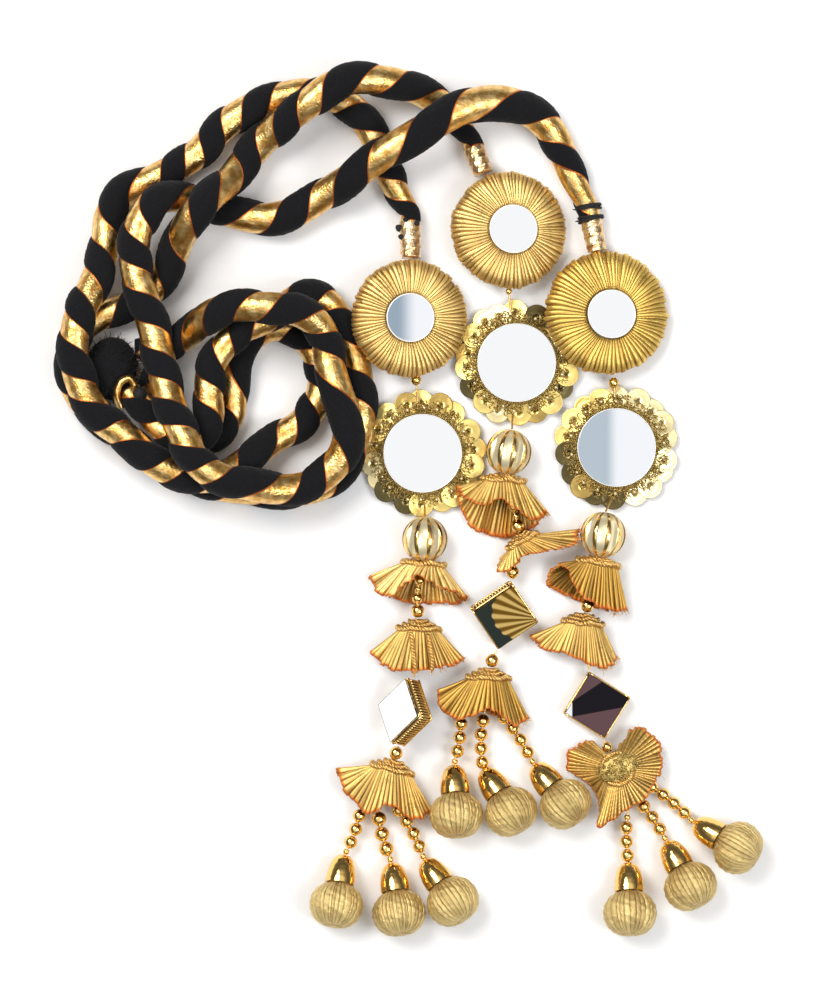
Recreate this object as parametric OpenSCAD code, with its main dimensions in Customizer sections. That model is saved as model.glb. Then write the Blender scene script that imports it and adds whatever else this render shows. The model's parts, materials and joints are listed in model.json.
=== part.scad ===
// Paranda: three padded cords joined at a frayed head, each ending in a gold tassel with mirrors.
// It lies on a flat surface at z = 0, seen from above, with the tassels towards -Y.

/* [Cords] */
// Sides of each cord's tube
cord_sides = 10; // [8:1:12]
// Radius of the gold-wrapped stem where it leaves the cord
stem_r = 4.7; // [4:0.1:5.5]
// Radius of the stem where it meets the rosette
stem_tip_r = 4.2; // [3.5:0.1:4.6]

/* [Head] */
// Half width of the frayed head
head_half_w = 11.1; // [9:0.1:12]
// Half length of the frayed head
head_half_l = 13.5; // [11:0.5:14]
// Half height of the frayed head
head_half_h = 8; // [7:0.5:8.5]

/* [Rosettes] */
// Outer radius of a rosette
rosette_r = 25.2; // [23:0.1:26]
// Pleats round a rosette
rosette_pleats = 44; // [30:1:48]
// Radius of the small round mirror
rosette_mirror_r = 10; // [8:0.5:10.5]
// Thickness of the small round mirror
rosette_mirror_t = 1.2; // [0.8:0.1:2]

/* [Flowers] */
// Outer radius of the bullion ring
bullion_r = 21.5; // [20:0.5:22.5]
// Radius of the large round mirror
flower_mirror_r = 16.8; // [15:0.1:17]
// Thickness of the large round mirror
flower_mirror_t = 1.6; // [1:0.1:2]
// Sequins in each of the two rows
sequins_per_row = 9; // [7:1:10]
// Radius of one sequin
sequin_r = 5.4; // [5:0.1:6.5]
// Thickness of one sequin
sequin_t = 0.5; // [0.4:0.1:0.6]
// Distance of a sequin's centre from the flower's centre
sequin_orbit = 21.9; // [21.8:0.1:22.2]

/* [Ribbed beads] */
// Radius of the ribbed bead over its ribs
ribbed_r = 9.8; // [8:0.1:10]
// Ribs round the ribbed bead
ribbed_ribs = 10; // [8:1:16]
// Height of one rib
rib_h = 0.7; // [0.3:0.1:1]

/* [Pleated skirts] */
// Pleats round a skirt
skirt_pleats = 16; // [12:1:18]
// Depth of a pleat at the hem
pleat_depth = 0.8; // [0.4:0.1:1]
// Thickness of the pleated ribbon
skirt_wall = 1.1; // [1:0.1:1.4]
// Height of the collar as a share of its width
collar_squash = 0.75; // [0.6:0.05:0.8]

/* [Diamond mirrors] */
// Side of the diamond frame
diamond_side = 21.6; // [18:0.2:22]
// Thickness of the diamond frame
diamond_t = 7; // [5:0.5:8]
// Ribs along one side of the frame
diamond_ribs = 10; // [6:1:14]
// Side of the diamond mirror
diamond_mirror_side = 19.6; // [16:0.2:20]
// Thickness of the diamond mirror
diamond_mirror_t = 1.2; // [0.8:0.1:2]

/* [Beads and thread] */
// Radius of the thread
thread_r = 0.5; // [0.4:0.05:0.6]
// Radius of the hole in each bead
bead_bore_r = 1; // [0.8:0.05:1.05]
// Gap between beads on a string
bead_gap = 0.15; // [0.1:0.05:0.3]

/* [Drops] */
// Largest radius of a ball
ball_r = 11.5; // [10:0.1:12]
// Slope of a drop's axis down towards its cap, in degrees
drop_slope = 17; // [14:1:20]
// Distance from a ball's centre to the top of its cap
cap_reach = 22; // [21:0.5:23]

/* [Hidden] */
$fn = 72;

black = [0.09, 0.09, 0.1];
gold = [0.85, 0.65, 0.25];
pale_gold = [0.86, 0.76, 0.5];
silver = [0.78, 0.81, 0.84];

// Cord routes: x, y, z and radius at each ring, from the stem to the head
cord_left_route = [
    [-7, 137, 6, 4.6], [-13, 151, 6.5, 6], [-17.5, 162, 7, 6.8], [-22, 173, 7.3, 7.1],
    [-28.5, 183, 7.5, 7.1], [-38.5, 190, 7.5, 7.1], [-50, 192.5, 7.5, 7.1], [-61.5, 191, 7.5, 7.1],
    [-73, 187, 7.5, 7.2], [-83.5, 181, 7.5, 7.2], [-92, 173, 7.4, 7.1], [-99.5, 165.5, 7.4, 7.1],
    [-108.5, 160, 7.2, 7.1], [-119, 154.5, 7.3, 7.1], [-130, 149.5, 7.9, 7.3], [-136, 140, 9, 7.3],
    [-137.5, 129, 10.5, 7.3], [-140, 117, 14, 7.3], [-144, 106, 18, 7.3], [-148.5, 96, 20.9, 7.3],
    [-150.5, 84, 21.4, 7.3], [-149.5, 73.5, 21.4, 7.3], [-145.5, 62, 21.6, 7.3],
    [-139, 52.5, 22.2, 7.3], [-129, 45, 22.7, 7.2], [-119.5, 36, 23.8, 7.2], [-108.5, 29.5, 23.3, 7.2],
    [-96, 26.5, 21.9, 7], [-85, 29, 19.7, 6.9], [-75, 36, 14.6, 6.9], [-65, 43.5, 8.3, 6.9],
    [-54, 50.5, 7.1, 6.9], [-47, 59.5, 7.2, 6.9], [-45, 70, 7.1, 6.8], [-48.5, 82, 7, 6.8],
    [-56.5, 90, 7, 6.8], [-67, 91.5, 6.9, 6.8], [-76.5, 86, 7, 6.8], [-82, 76, 7, 6.8],
    [-83, 64, 7, 6.8], [-84, 53.5, 7, 6.6], [-90, 45, 6.6, 6.2], [-99.5, 43.5, 6.4, 6.2],
    [-107.5, 50, 6.3, 6.1], [-112.5, 59, 6.4, 5.9], [-117.5, 69, 6.5, 5.5], [-122.5, 71.5, 6.5, 4.3]
];
cord_middle_route = [
    [20.5, 168.6, 6.3, 4.6], [11.5, 183, 6.8, 6.2], [3, 190, 8.5, 7], [-8, 195, 13.5, 7.2],
    [-20, 197, 19, 7.3], [-32, 197, 22, 7.4], [-42, 193, 23, 7.5], [-50, 187, 21.9, 7.3],
    [-60, 180, 17.4, 7.3], [-69, 172.5, 12.5, 7.3], [-77, 164, 11, 7.4], [-84, 154.5, 17.1, 7.3],
    [-92, 147, 24.7, 7.4], [-99.5, 138.5, 25.1, 7.4], [-105.5, 129, 18.3, 7.3],
    [-110.5, 118, 11.3, 7.2], [-117, 108.5, 7.9, 7], [-127, 101.5, 7, 6.8], [-138.5, 97, 6.9, 6.6],
    [-148, 90.5, 6.9, 6.5], [-153, 81, 7, 6.4], [-153, 70, 7, 6.4], [-148, 59.5, 6.8, 6.4],
    [-138, 50, 6.6, 6.4], [-127, 42, 6.6, 6.4], [-115, 34, 6.6, 6.4], [-102, 27, 6.6, 6.4],
    [-88, 22.5, 6.6, 6.4], [-73, 21, 7, 6.6], [-59, 20.5, 7.2, 6.8], [-46, 23, 7.5, 7],
    [-36, 30.5, 8.5, 7], [-30, 42, 9.5, 7], [-28, 54, 10, 7.1], [-28.5, 66, 8.6, 7],
    [-30, 77, 7.3, 6.8], [-34, 88, 7, 6.8], [-38.5, 97.5, 7.3, 6.8], [-45, 104, 8.9, 7],
    [-54, 104.5, 13.4, 7], [-62, 99, 18.9, 6.9], [-70, 94, 20.7, 6.8], [-79, 90, 20.4, 6.8],
    [-86.5, 83, 20.4, 6.8], [-92, 74, 20.6, 7], [-93, 63, 20.8, 7], [-92.5, 52.5, 20.9, 6.9],
    [-97, 44, 20.2, 6.5], [-105, 42.5, 18.8, 6.4], [-113, 47.5, 18, 6.3], [-120, 55, 17, 5.9],
    [-128, 64, 13, 4.8]
];
cord_right_route = [
    [71, 138, 6, 4.9], [63, 156, 6.5, 6.2], [58.5, 167, 7.3, 6.8], [53, 177, 8.5, 7.3],
    [43, 185, 12.5, 7.8], [29.5, 188, 18.5, 8], [15, 184.5, 23, 8], [-0, 176, 24.1, 7.7],
    [-17, 166, 23.2, 7.4], [-30, 157, 17.7, 7.4], [-43, 149, 11.6, 7.4], [-57, 141, 8.6, 7.6],
    [-71, 138.5, 7.8, 7.5], [-86, 141.5, 7.4, 7.1], [-98, 146, 8.7, 7], [-107, 147, 15.6, 7],
    [-115.5, 145, 21.5, 7.2], [-121.5, 137, 22.2, 7.3], [-124.5, 126.5, 21.9, 7.4],
    [-124, 114.5, 22, 7.4], [-120, 102, 22.6, 7.4], [-116.5, 90, 23.7, 7.4], [-113.5, 78, 25.2, 7.3],
    [-111, 66, 28.1, 7.3], [-107.5, 54.5, 32.1, 7.3], [-103, 44, 35.1, 7.3], [-98, 34.5, 36.1, 7.3],
    [-89, 27.5, 36.1, 7.3], [-77, 24, 31.7, 7.4], [-64, 22, 24.9, 7.4], [-51, 23.5, 22.2, 7.3],
    [-40, 31, 23, 7.3], [-34, 41.5, 24.9, 7.3], [-34.5, 53, 25.9, 7.3], [-38, 65, 24.5, 7.3],
    [-41.5, 76, 22.7, 7.3], [-43, 86, 23.2, 7.3], [-48, 94, 27.4, 7.3], [-58, 98.5, 33, 7.3],
    [-70, 99.5, 35, 7.3], [-82, 99.5, 32, 7.3], [-92.5, 96, 26.8, 7.2], [-101, 89, 18, 6.9],
    [-109, 84, 10.7, 6.4], [-117, 82.5, 7, 5.6], [-125, 82, 6.5, 4.4]
];
cord_routes = [cord_left_route, cord_middle_route, cord_right_route];

// Head: centre
head_at = [-135, 74, 8.5];

// Stems: from point, to point. The cord's last stretch runs straight on from the stem
stems = [
    [[-7, 137, 6], [-6.5, 121.6, 8.5]],
    [[20.5, 168.6, 6.3], [24.6, 158, 8.5]],
    [[71, 138, 6], [73.6, 124.6, 6.5]]
];

// Straight run of the cord before its first row, and the gap between two pieces that meet
cord_lead = 5;
seam_gap = 0.1;
// Gap under each mirror
mirror_gap = 0.05;

// Rosettes: x, y, direction of the raised edge, tilt, height of the lowest edge, size against the
// full one, shift of the mirror in x and y.
// The left one leans on the ring of cords and on the middle flower, the right one on that flower
rosettes = [
    [-8, 95.5, 180, 11, 3.4, 1, -0.7, 0],
    [34.7, 133.1, 200, 10, 0, 1, 1.1, 0],
    [77, 97.6, 210, 9.2, 0, 1.06, 1.2, -1.2]
];
// Flowers: x, y
flowers = [[-1.5, 37.5], [39, 76.5], [82, 40]];
// Rosette section: radius as a share of the outer radius, height, depth of the pleats
rosette_foot = 0.91;
rosette_section = [
    [rosette_foot, 0.3, 0],
    [0.99, 4, 0.7],
    [0.93, 7.6, 0.7],
    [0.7, 9.7, 0.6],
    [0.46, 9.3, 0]
];
rosette_seat_z = 9.35;

// Flower section heights: backing, sequin rows, upper disc, ring
backing_r = 19;
backing_t = 2;
hub_r = 15.5;
upper_disc_z = 3.5;
upper_disc_t = 0.8;
bullion_h = 6.9;
sequin_row_z = [2.15, 2.85];
sequin_hole_r = 0.7;
first_sequin = 9;

// Ribbed beads: centre, heading of the hole
ribbed_beads = [
    [[-0.5, 0.5, 9.9], -93],
    [[35.5, 38, 9.9], -100],
    [[76, 2.5, 9.9], -98]
];

// Skirts: apex, heading of the axis, collar radius, distance from apex to collar
fan_tops = [
    [[-1, -9.8, 8], -95, 8.5, 0.5],
    [[33.6, 28, 8], -95, 8.5, 2.5],
    [[74.4, -7.6, 8], -100, 8.5, 2.5]
];
fan_mids = [
    [[-3, -34, 8], -92, 8.5, 4.5],
    [[40, 2.5, 8], -62, 6.5, 3.5],
    [[68, -31.5, 8], -97, 8, 4.5]
];
fan_lows = [
    [[-13.5, -94.5, 8], -105, 8.5, 4.5],
    [[27, -55, 8], -92, 8.5, 4.5]
];
// Hem of each skirt, from the apex: turn round the axis, x, y, height above the surface
fan_top_left_hem = [
    [0, -24, -5, 5], [25, -20.5, -12.5, 9], [50, -14, -14.5, 13], [72, -7.5, -8.5, 16],
    [90, -3.5, -4.5, 17], [108, 1.5, -7.5, 16], [130, 9.5, -11.5, 13], [165, 18, -13.5, 6],
    [195, 16.5, -17.5, 2], [235, 7, -17.5, 2], [270, -2.5, -17.5, 2], [305, -12, -15.5, 2],
    [335, -19.5, -11.5, 2]
];
fan_top_middle_hem = [
    [0, -20.5, -5, 11], [30, -15.5, -11, 14], [60, -8, -13, 16], [85, -1, -10, 17],
    [105, 4, -14.5, 16], [135, 12, -19.5, 12], [175, 19, -16, 5], [200, 13.5, -22, 2],
    [240, 2.5, -26.5, 2], [280, -7.5, -25.5, 2], [310, -14.5, -22.5, 4], [340, -19.5, -12.5, 7]
];
fan_top_right_hem = [
    [0, -20, -5, 7], [20, -15, -3, 12], [45, -12, -9, 15], [65, -9.5, -15, 16],
    [85, -3.5, -19, 16], [110, 2.5, -22, 14], [140, 7.5, -23.5, 10], [175, 12, -22, 4.5],
    [205, 5.5, -23, 2], [260, -6, -19.5, 2], [310, -16, -15, 2], [340, -22.5, -11, 3.5]
];
fan_mid_left_hem = [
    [0, -20.5, -14, 5], [30, -17, -19, 9], [60, -10, -22, 13], [90, -0.5, -22.5, 15],
    [120, 9, -21, 13], [150, 16, -19, 9], [180, 19, -16, 5], [220, 13.5, -18.5, 2],
    [270, 0.5, -20, 2], [320, -13.5, -18.5, 2]
];
fan_mid_middle_hem = [
    [5, -8.5, -16, 6], [35, -4, -15, 12], [65, 2, -9, 14], [90, 8, -8, 14],
    [115, 14.5, -6.5, 14], [135, 22, -5, 13], [155, 25.2, -1.5, 10], [180, 25.3, 2.5, 6],
    [205, 23, -1.5, 2.5], [240, 14, -6, 2], [290, 1.5, -9.5, 2], [335, -8, -11, 2]
];
fan_mid_right_hem = [
    [0, -22.5, -10.5, 5], [30, -17.5, -15.5, 9], [55, -10.5, -17, 13], [80, -3.5, -19, 15],
    [105, 2.5, -22.5, 14], [140, 10, -23, 10], [180, 14.5, -18.5, 4.5], [220, 8, -19.5, 2],
    [260, -1.5, -19, 2], [300, -12.5, -16, 2], [335, -20.5, -13, 2.5]
];
fan_low_left_hem = [
    [0, -25, -4, 5.5], [25, -21.5, -13, 10], [45, -16, -20, 12], [65, -11, -23.5, 13],
    [85, -4.5, -19.5, 14], [105, 2, -20.5, 14], [130, 7.5, -26, 12], [170, 15.5, -22.5, 5],
    [200, 8, -22.5, 2], [260, -4.5, -18, 2], [310, -16, -14, 2], [340, -23, -8, 2.5]
];
fan_low_middle_hem = [
    [0, -22, -10.5, 5], [25, -21, -17.5, 10], [50, -14.5, -22, 13], [75, -7.5, -20.5, 15],
    [90, -0.5, -17.5, 16], [110, 5, -20, 15], [140, 11, -25.5, 12], [175, 17, -21, 5],
    [205, 11, -21.5, 2], [260, -1.5, -19.5, 2], [310, -14.5, -18, 2], [340, -21, -14, 2.5]
];
fan_low_right_hem = [
    [0, -12.5, 11.5, 4.5], [30, -19.5, 8, 4], [60, -21.5, -1, 5], [75, -14, -5, 7],
    [95, -8.5, -14, 9], [115, -8, -24.5, 10], [135, -3, -23, 10.5], [160, 4, -18, 11],
    [185, 11, -14, 11], [210, 16.5, -6, 11], [245, 20, 2.5, 8], [275, 16.8, 12.9, 6],
    [300, 8, 18.5, 5], [322, 3.5, 11.5, 7], [345, -3.6, 5.4, 8.5]
];
// The right strand's lowest skirt lies spread out: centre, direction of turn 0, collar radius
spread_fan = [[82, -98, 14], 128, 6];
spread_fan_rise = 1.6;
collar_tip_r = 2.2;
skirt_samples = 2 * skirt_pleats;

// Diamonds: x, y, spin, direction of the raised corner, tilt
diamonds = [
    [-8.6, -73.5, -13, -13, 52],
    [33.5, -32, -11, 124, 16],
    [73.5, -71, 13, 0, 0]
];
diamond_half = diamond_side / sqrt(2);
diamond_floor_gap = 0.3;

// Drops: ball x, ball y, heading from the ball to its cap
drops = [
    [[-38.5, -156.5, 81], [-11.8, -160, 98], [11.4, -155, 125]],
    [[13, -118, 93], [36.4, -116.5, 123], [59.8, -113.2, 129]],
    [[87.5, -160, 91], [113.5, -148.5, 118], [134, -132, 151]]
];
ball_z = 11.7;
// Ball section: radius as a share of the largest, distance along the axis
ball_section = [
    [0, -9.2], [0.5, -9], [0.8, -7.9], [0.93, -5.4], [0.99, -2.3], [1, 0.5], [0.95, 3.4],
    [0.82, 6], [0.63, 8.1], [0.47, 9.3], [0.42, 11], [0.38, 15.5], [0, 15.5]
];
// Cap section, outside then inside: radius, distance below the cap's top
cap_section = [
    [1, 0], [2.8, 0.3], [4.5, 2], [5.6, 4.8], [6.2, 7.8], [6.4, 10.6], [6.3, 12.6],
    [5.6, 12.6], [5.5, 10.4], [5.2, 7.8], [4.6, 5.2], [3.6, 2.8], [1, 1.2]
];

// Strings: packed end, loose end, point where the thread is tied, sideways bow, bead diameters
large = 6.5;
big = 5.8;
mid = 4.6;
small = 2.9;
strings = [
    [
        [[-4.5, 71.4, 8.1], [-3.6, 59.6, 5.2], [-3.6, 59.4, 5.2], 0, [mid]],
        [[-0.7, 15.6, 5.2], [-0.5, 10.7, 9.5], [-0.5, 10.5, 9.7], 0, []],
        [[-3, -33.4, 8], [-1.5, -13, 7.5], [-1.4, -12, 7.6], -1.5, [big, mid, small, mid]],
        [[-3.3, -38.6, 8], [-5.3, -58.4, 14.5], [-5.5, -58.7, 14.6], 0, []],
        [[-13.5, -93.2, 8.4], [-12.1, -88.6, 14], [-11.9, -88.4, 14.2], 0, [big]]
    ],
    [
        [[35.4, 108.7, 7.5], [36.6, 98.4, 5.2], [36.6, 98.2, 5.2], 0, [small]],
        [[37.4, 54.9, 5.2], [36.9, 48.2, 9.6], [36.9, 48, 9.7], 0, []],
        [[39.7, 3.1, 8], [33.6, 24, 7.6], [33.5, 25.4, 7.7], 1, [big, small, mid]],
        [[37, -16.7, 8], [40.6, -4.4, 6.2], [40.7, -1.3, 6.4], -1, [big, mid, small]],
        [[27.1, -54.4, 8], [30.2, -47.8, 7.2], [30.4, -47.4, 7.2], 0, [big]]
    ],
    [
        [[80.6, 70.2, 6.6], [81.2, 62, 5.2], [81.2, 61.8, 5.2], 0, [mid]],
        [[80, 18.3, 5.2], [77.3, 12.7, 9.6], [77.2, 12.6, 9.7], 0, []],
        [[68.1, -30.9, 8], [73.8, -11, 7.6], [74, -10.1, 7.7], 1, [big]],
        [[67.4, -36, 7.6], [70.2, -55.4, 5], [70.3, -55.7, 5], 0, []],
        [[78.8, -91, 7.4], [77.1, -86.8, 4.8], [77, -86.1, 4.6], 0, [mid]]
    ]
];
// Drop strings: point under the skirt, tie point, sideways bow, bead diameters from the cap up
drop_strings = [
    [
        [[-28, -114.5, 5.2], [-16.3, -98.8, 6.6], 1, [small, big, big, big]],
        [[-21, -114.5, 5.2], [-14.8, -99.2, 6.6], -1, [small, large, large, large]],
        [[-14.5, -113, 5.2], [-13.3, -99.4, 6.6], 1.5, [small, big, big, big, big]]
    ],
    [
        [[15, -74.5, 5.2], [25.4, -59.6, 6.6], 1, [small, big, big, big]],
        [[25.5, -73, 5.2], [26.9, -59.7, 6.6], -1.5, [big, big, big, big]],
        [[29, -71.5, 5.2], [28.4, -59.6, 6.6], 1.5, [small, big, big, big, big]]
    ],
    [
        [[87.3, -113.5, 5.2], [80.8, -99.5, 12.7], -1, [big, big, big, small]],
        [[90, -110.5, 5.2], [82.4, -98.4, 12.7], 1, [small, big, big, big]],
        [[95.5, -105, 5.2], [83.6, -97, 12.7], 1, [small, big, big, big, big]]
    ]
];
string_steps = 4;
cap_gap = 0.3;
thread_sides = 6;

function unit(v) = v / norm(v);
function mix(a, b, t) = a * (1 - t) + b * t;
function flat_dir(a) = [cos(a), sin(a), 0];

// A smooth curve through four neighbouring rows
function through(a, b, c, d, t) =
    0.5 * (2 * b + (c - a) * t + (2 * a - 5 * b + 4 * c - d) * t * t + (3 * b - a - 3 * c + d) * t * t * t);

// Ring of a tube round point p, square to direction d
function tube_ring(p, d, r, sides) =
    let (across = unit(cross(d, [0, 0, 1])), up = cross(across, d))
    [for (k = [0:sides - 1]) let (a = 360 * k / sides) p + r * (cos(a) * across + sin(a) * up)];

function heading_at(pts, i) =
    unit(pts[min(i + 1, len(pts) - 1)] - pts[max(i - 1, 0)]);

function middle_of(ring) = [for (p = ring) 1] * ring / len(ring);

// Closed solid through a list of rings of equal length, with a fan of triangles at each end
module loft(rings) {
    n = len(rings[0]);
    last = len(rings) - 1;
    sides = [
        for (i = [0:last - 1], k = [0:n - 1])
        let (a = i * n + k, b = i * n + (k + 1) % n)
        each [[a, a + n, b], [b, a + n, b + n]]
    ];
    first_end = (last + 1) * n;
    ends = [
        for (k = [0:n - 1])
        let (next = (k + 1) % n)
        each [[first_end, k, next], [first_end + 1, last * n + next, last * n + k]]
    ];
    points = concat([for (ring = rings) each ring], [middle_of(rings[0]), middle_of(rings[last])]);
    polyhedron(points, concat(sides, ends));
}

// Tube through points with a radius at each
module tube(pts, radii, sides) {
    loft([for (i = [0:len(pts) - 1]) tube_ring(pts[i], heading_at(pts, i), radii[i], sides)]);
}

// Turns +Z so that it runs along d, at point p
module along(p, d) {
    translate(p) rotate([0, acos(d.z / norm(d)), atan2(d.y, d.x)]) children();
}

// Sets a flat round piece of radius r down at x, y with one edge raised
module leaning(row, r) {
    translate([row[0], row[1], row[4] + r * sin(row[3])])
        rotate(a = row[3], v = [sin(row[2]), -cos(row[2]), 0]) children();
}

module cord(s) {
    route = cord_routes[s];
    start = stems[s][0];
    back = unit(start - stems[s][1]);
    rest = [for (i = [1:len(route) - 1]) route[i]];
    color(black) tube(
        concat([start + seam_gap * back, start + cord_lead * back], [for (row = rest) [row.x, row.y, row.z]]),
        concat([route[0][3], route[0][3]], [for (row = rest) row[3]]),
        cord_sides
    );
}

// Lumpy end where the cords are bound together and frayed
module head() {
    stations = 8;
    sides = 16;
    color(black) loft([
        for (i = [0:stations])
        let (a = -80 + 160 * i / stations)
        [
            for (k = [0:sides - 1])
            let (b = -360 * k / sides, lump = 0.95 + 0.05 * sin(3 * b + 50 * i))
            head_at + [
                head_half_w * cos(a) * cos(b) * lump,
                head_half_l * sin(a) / sin(80),
                head_half_h * cos(a) * sin(b) * lump
            ]
        ]
    ]);
}

module stem(s) {
    from = stems[s][0];
    to = stems[s][1];
    color(gold) along(from, to - from) cylinder(r1 = stem_r, r2 = stem_tip_r, h = norm(to - from));
}

// Gathered ribbon disc: pleats run out from the mirror and round the rim
module rosette(s) {
    samples = 2 * rosette_pleats;
    radius = rosettes[s][5] * rosette_r;
    color(gold) leaning(rosettes[s], rosette_foot * radius) loft([
        for (row = rosette_section)
        [
            for (k = [0:samples - 1])
            let (a = 360 * k / samples, fold = row[2] * (k % 2 - 0.5))
            [(row[0] * radius + fold) * cos(a), (row[0] * radius + fold) * sin(a), row[1] + fold]
        ]
    ]);
}

module rosette_mirror(s) {
    row = rosettes[s];
    color(silver) leaning(row, rosette_foot * row[5] * rosette_r)
        translate([row[6], row[7], rosette_seat_z]) cylinder(r = rosette_mirror_r, h = rosette_mirror_t);
}

// Backing and bullion ring in one piece, with a groove between them that holds the sequins
module flower(s) {
    ring_in = flower_mirror_r + seam_gap;
    ring_w = bullion_r - ring_in;
    color(gold) translate(flowers[s]) rotate_extrude() polygon([
        [0, 0], [backing_r, 0], [backing_r, backing_t], [hub_r, backing_t], [hub_r, upper_disc_z],
        [bullion_r, upper_disc_z], [bullion_r, bullion_h - 1.6], [bullion_r - 0.25 * ring_w, bullion_h - 0.4],
        [bullion_r - 0.5 * ring_w, bullion_h], [bullion_r - 0.75 * ring_w, bullion_h - 0.4],
        [ring_in, bullion_h - 1.4], [ring_in, upper_disc_z + upper_disc_t], [0, upper_disc_z + upper_disc_t]
    ]);
}

// Two rows of flat discs, the upper row set between those of the lower
module sequins(s) {
    step = 360 / sequins_per_row;
    color(gold) translate(flowers[s])
        for (row = [0, 1], k = [0:sequins_per_row - 1])
            rotate(step * (k + 0.5 * row) + first_sequin)
                translate([sequin_orbit, 0, sequin_row_z[row]]) difference() {
                    cylinder(r = sequin_r, h = sequin_t);
                    translate([0, 0, -sequin_t]) cylinder(r = sequin_hole_r, h = 3 * sequin_t);
                }
}

module flower_mirror(s) {
    color(silver) translate(flowers[s])
        translate([0, 0, upper_disc_z + upper_disc_t + mirror_gap])
            cylinder(r = flower_mirror_r, h = flower_mirror_t);
}

// Round bead with raised ribs from hole to hole
module ribbed_bead(s) {
    stations = 7;
    polar = 78;
    samples = 4 * ribbed_ribs;
    color(gold) along(ribbed_beads[s][0], flat_dir(ribbed_beads[s][1])) loft([
        for (i = [0:stations])
        let (a = -polar + 2 * polar * i / stations)
        [
            for (k = [0:samples - 1])
            let (b = 360 * k / samples, r = ribbed_r - rib_h * 0.5 * (1 - cos(ribbed_ribs * b)) * cos(a))
            [r * cos(a) * cos(b), r * cos(a) * sin(b), ribbed_r * sin(a)]
        ]
    ]);
}

// Point of a closed hem at one turn round the axis, by a smooth curve through the rows
function hem_point(hem, turn) =
    let (n = len(hem), found = [for (k = [0:n - 1]) if (hem[k][0] <= turn) k])
    let (i = len(found) > 0 ? max(found) : n - 1)
    let (a = hem[(i + n - 1) % n], b = hem[i], c = hem[(i + 1) % n], d = hem[(i + 2) % n])
    let (span = (c[0] - b[0] + 360) % 360, t = ((turn - b[0] + 360) % 360) / span)
    through([a[1], a[2], a[3]], [b[1], b[2], b[3]], [c[1], c[2], c[3]], [d[1], d[2], d[3]], t);

// Unfolded rings of a skirt from the tip of its collar to its hem
function skirt_rings(apex, axis, side, up, collar_r, squash, drop, hem) = [
    for (ring = [0:3])
    [
        for (k = [0:skirt_samples - 1])
        let (turn = 360 * k / skirt_samples, round = cos(turn) * side + squash * sin(turn) * up)
        let (collar = apex + drop * axis + collar_r * round)
        let (edge = [apex.x, apex.y, 0] + hem_point(hem, turn))
        ring == 0 ? apex + collar_tip_r * round : mix(collar, edge, 0.5 * (ring - 1))
    ]
];

// Outward direction of a skirt at one point of its rings
function skirt_out(rings, ring, k) =
    let (n = len(rings[0]), low = max(ring - 1, 0), high = min(ring + 1, len(rings) - 1))
    unit(cross(rings[ring][(k + 1) % n] - rings[ring][(k + n - 1) % n], rings[high][k] - rings[low][k]));

// Pleated skirt as an open shell: inside up to the collar, outside up to the tip
module skirt(rings) {
    depth = [0, 0.25, 0.65, 1] * pleat_depth;
    n = len(rings[0]);
    outer = [
        for (ring = [0:3])
        [for (k = [0:n - 1]) rings[ring][k] + depth[ring] * (k % 2 - 0.5) * skirt_out(rings, ring, k)]
    ];
    inner = [
        for (ring = [1:3])
        [for (k = [0:n - 1]) outer[ring][k] - skirt_wall * skirt_out(rings, ring, k)]
    ];
    color(gold) loft([inner[0], inner[1], inner[2], outer[3], outer[2], outer[1], outer[0]]);
}

module hung_skirt(row, hem) {
    axis = flat_dir(row[1]);
    side = flat_dir(row[1] - 90);
    skirt(skirt_rings(row[0], axis, side, [0, 0, 1], row[2], collar_squash, row[3], hem));
}

module spread_skirt() {
    side = flat_dir(spread_fan[1]);
    ahead = flat_dir(spread_fan[1] + 90);
    apex = spread_fan[0];
    skirt(skirt_rings(apex, [0, 0, -1], side, ahead, spread_fan[2], 1, spread_fan_rise, fan_low_right_hem));
}

module fan_top(s) {
    hung_skirt(fan_tops[s], [fan_top_left_hem, fan_top_middle_hem, fan_top_right_hem][s]);
}

module fan_mid(s) {
    hung_skirt(fan_mids[s], [fan_mid_left_hem, fan_mid_middle_hem, fan_mid_right_hem][s]);
}

module fan_low(s) {
    if (s < 2) hung_skirt(fan_lows[s], [fan_low_left_hem, fan_low_middle_hem][s]);
    else spread_skirt();
}

// Outline of the frame, with a scallop for each rib
function diamond_outline() = [
    for (side = [0:3], k = [0:4 * diamond_ribs - 1])
    let (u = k / (4 * diamond_ribs), half = diamond_side / 2)
    let (x = half * (2 * u - 1), y = half - 0.5 + 0.5 * abs(sin(180 * u * diamond_ribs)), a = -90 * side)
    [x * cos(a) - y * sin(a), x * sin(a) + y * cos(a)]
];

module diamond_seated(s) {
    row = diamonds[s];
    translate([row[0], row[1], diamond_half * sin(row[4]) + diamond_t / 2 + diamond_floor_gap])
        rotate(a = row[4], v = [sin(row[3]), -cos(row[3]), 0])
            rotate(row[2] + 45) children();
}

module diamond_frame(s) {
    color(gold) diamond_seated(s)
        linear_extrude(height = diamond_t, center = true) polygon(diamond_outline());
}

module diamond_mirror(s) {
    side = diamond_mirror_side;
    color(silver) diamond_seated(s)
        translate([-side / 2, -side / 2, diamond_t / 2 + mirror_gap]) cube([side, side, diamond_mirror_t]);
}

// Drop geometry: axis from ball to cap, and the top of the cap
function drop_axis(drop) =
    [cos(drop[2]) * cos(drop_slope), sin(drop[2]) * cos(drop_slope), -sin(drop_slope)];
function ball_at(drop) = [drop[0], drop[1], ball_z];
function cap_top(drop) = ball_at(drop) + cap_reach * drop_axis(drop);

// Every string of a strand: packed end, loose end, tie point, bow, bead diameters
function all_strings(s) = concat(
    strings[s],
    [for (i = [0:2]) let (row = drop_strings[s][i])
        [cap_top(drops[s][i]) + cap_gap * drop_axis(drops[s][i]), row[0], row[1], row[2], row[3]]]
);

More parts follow.
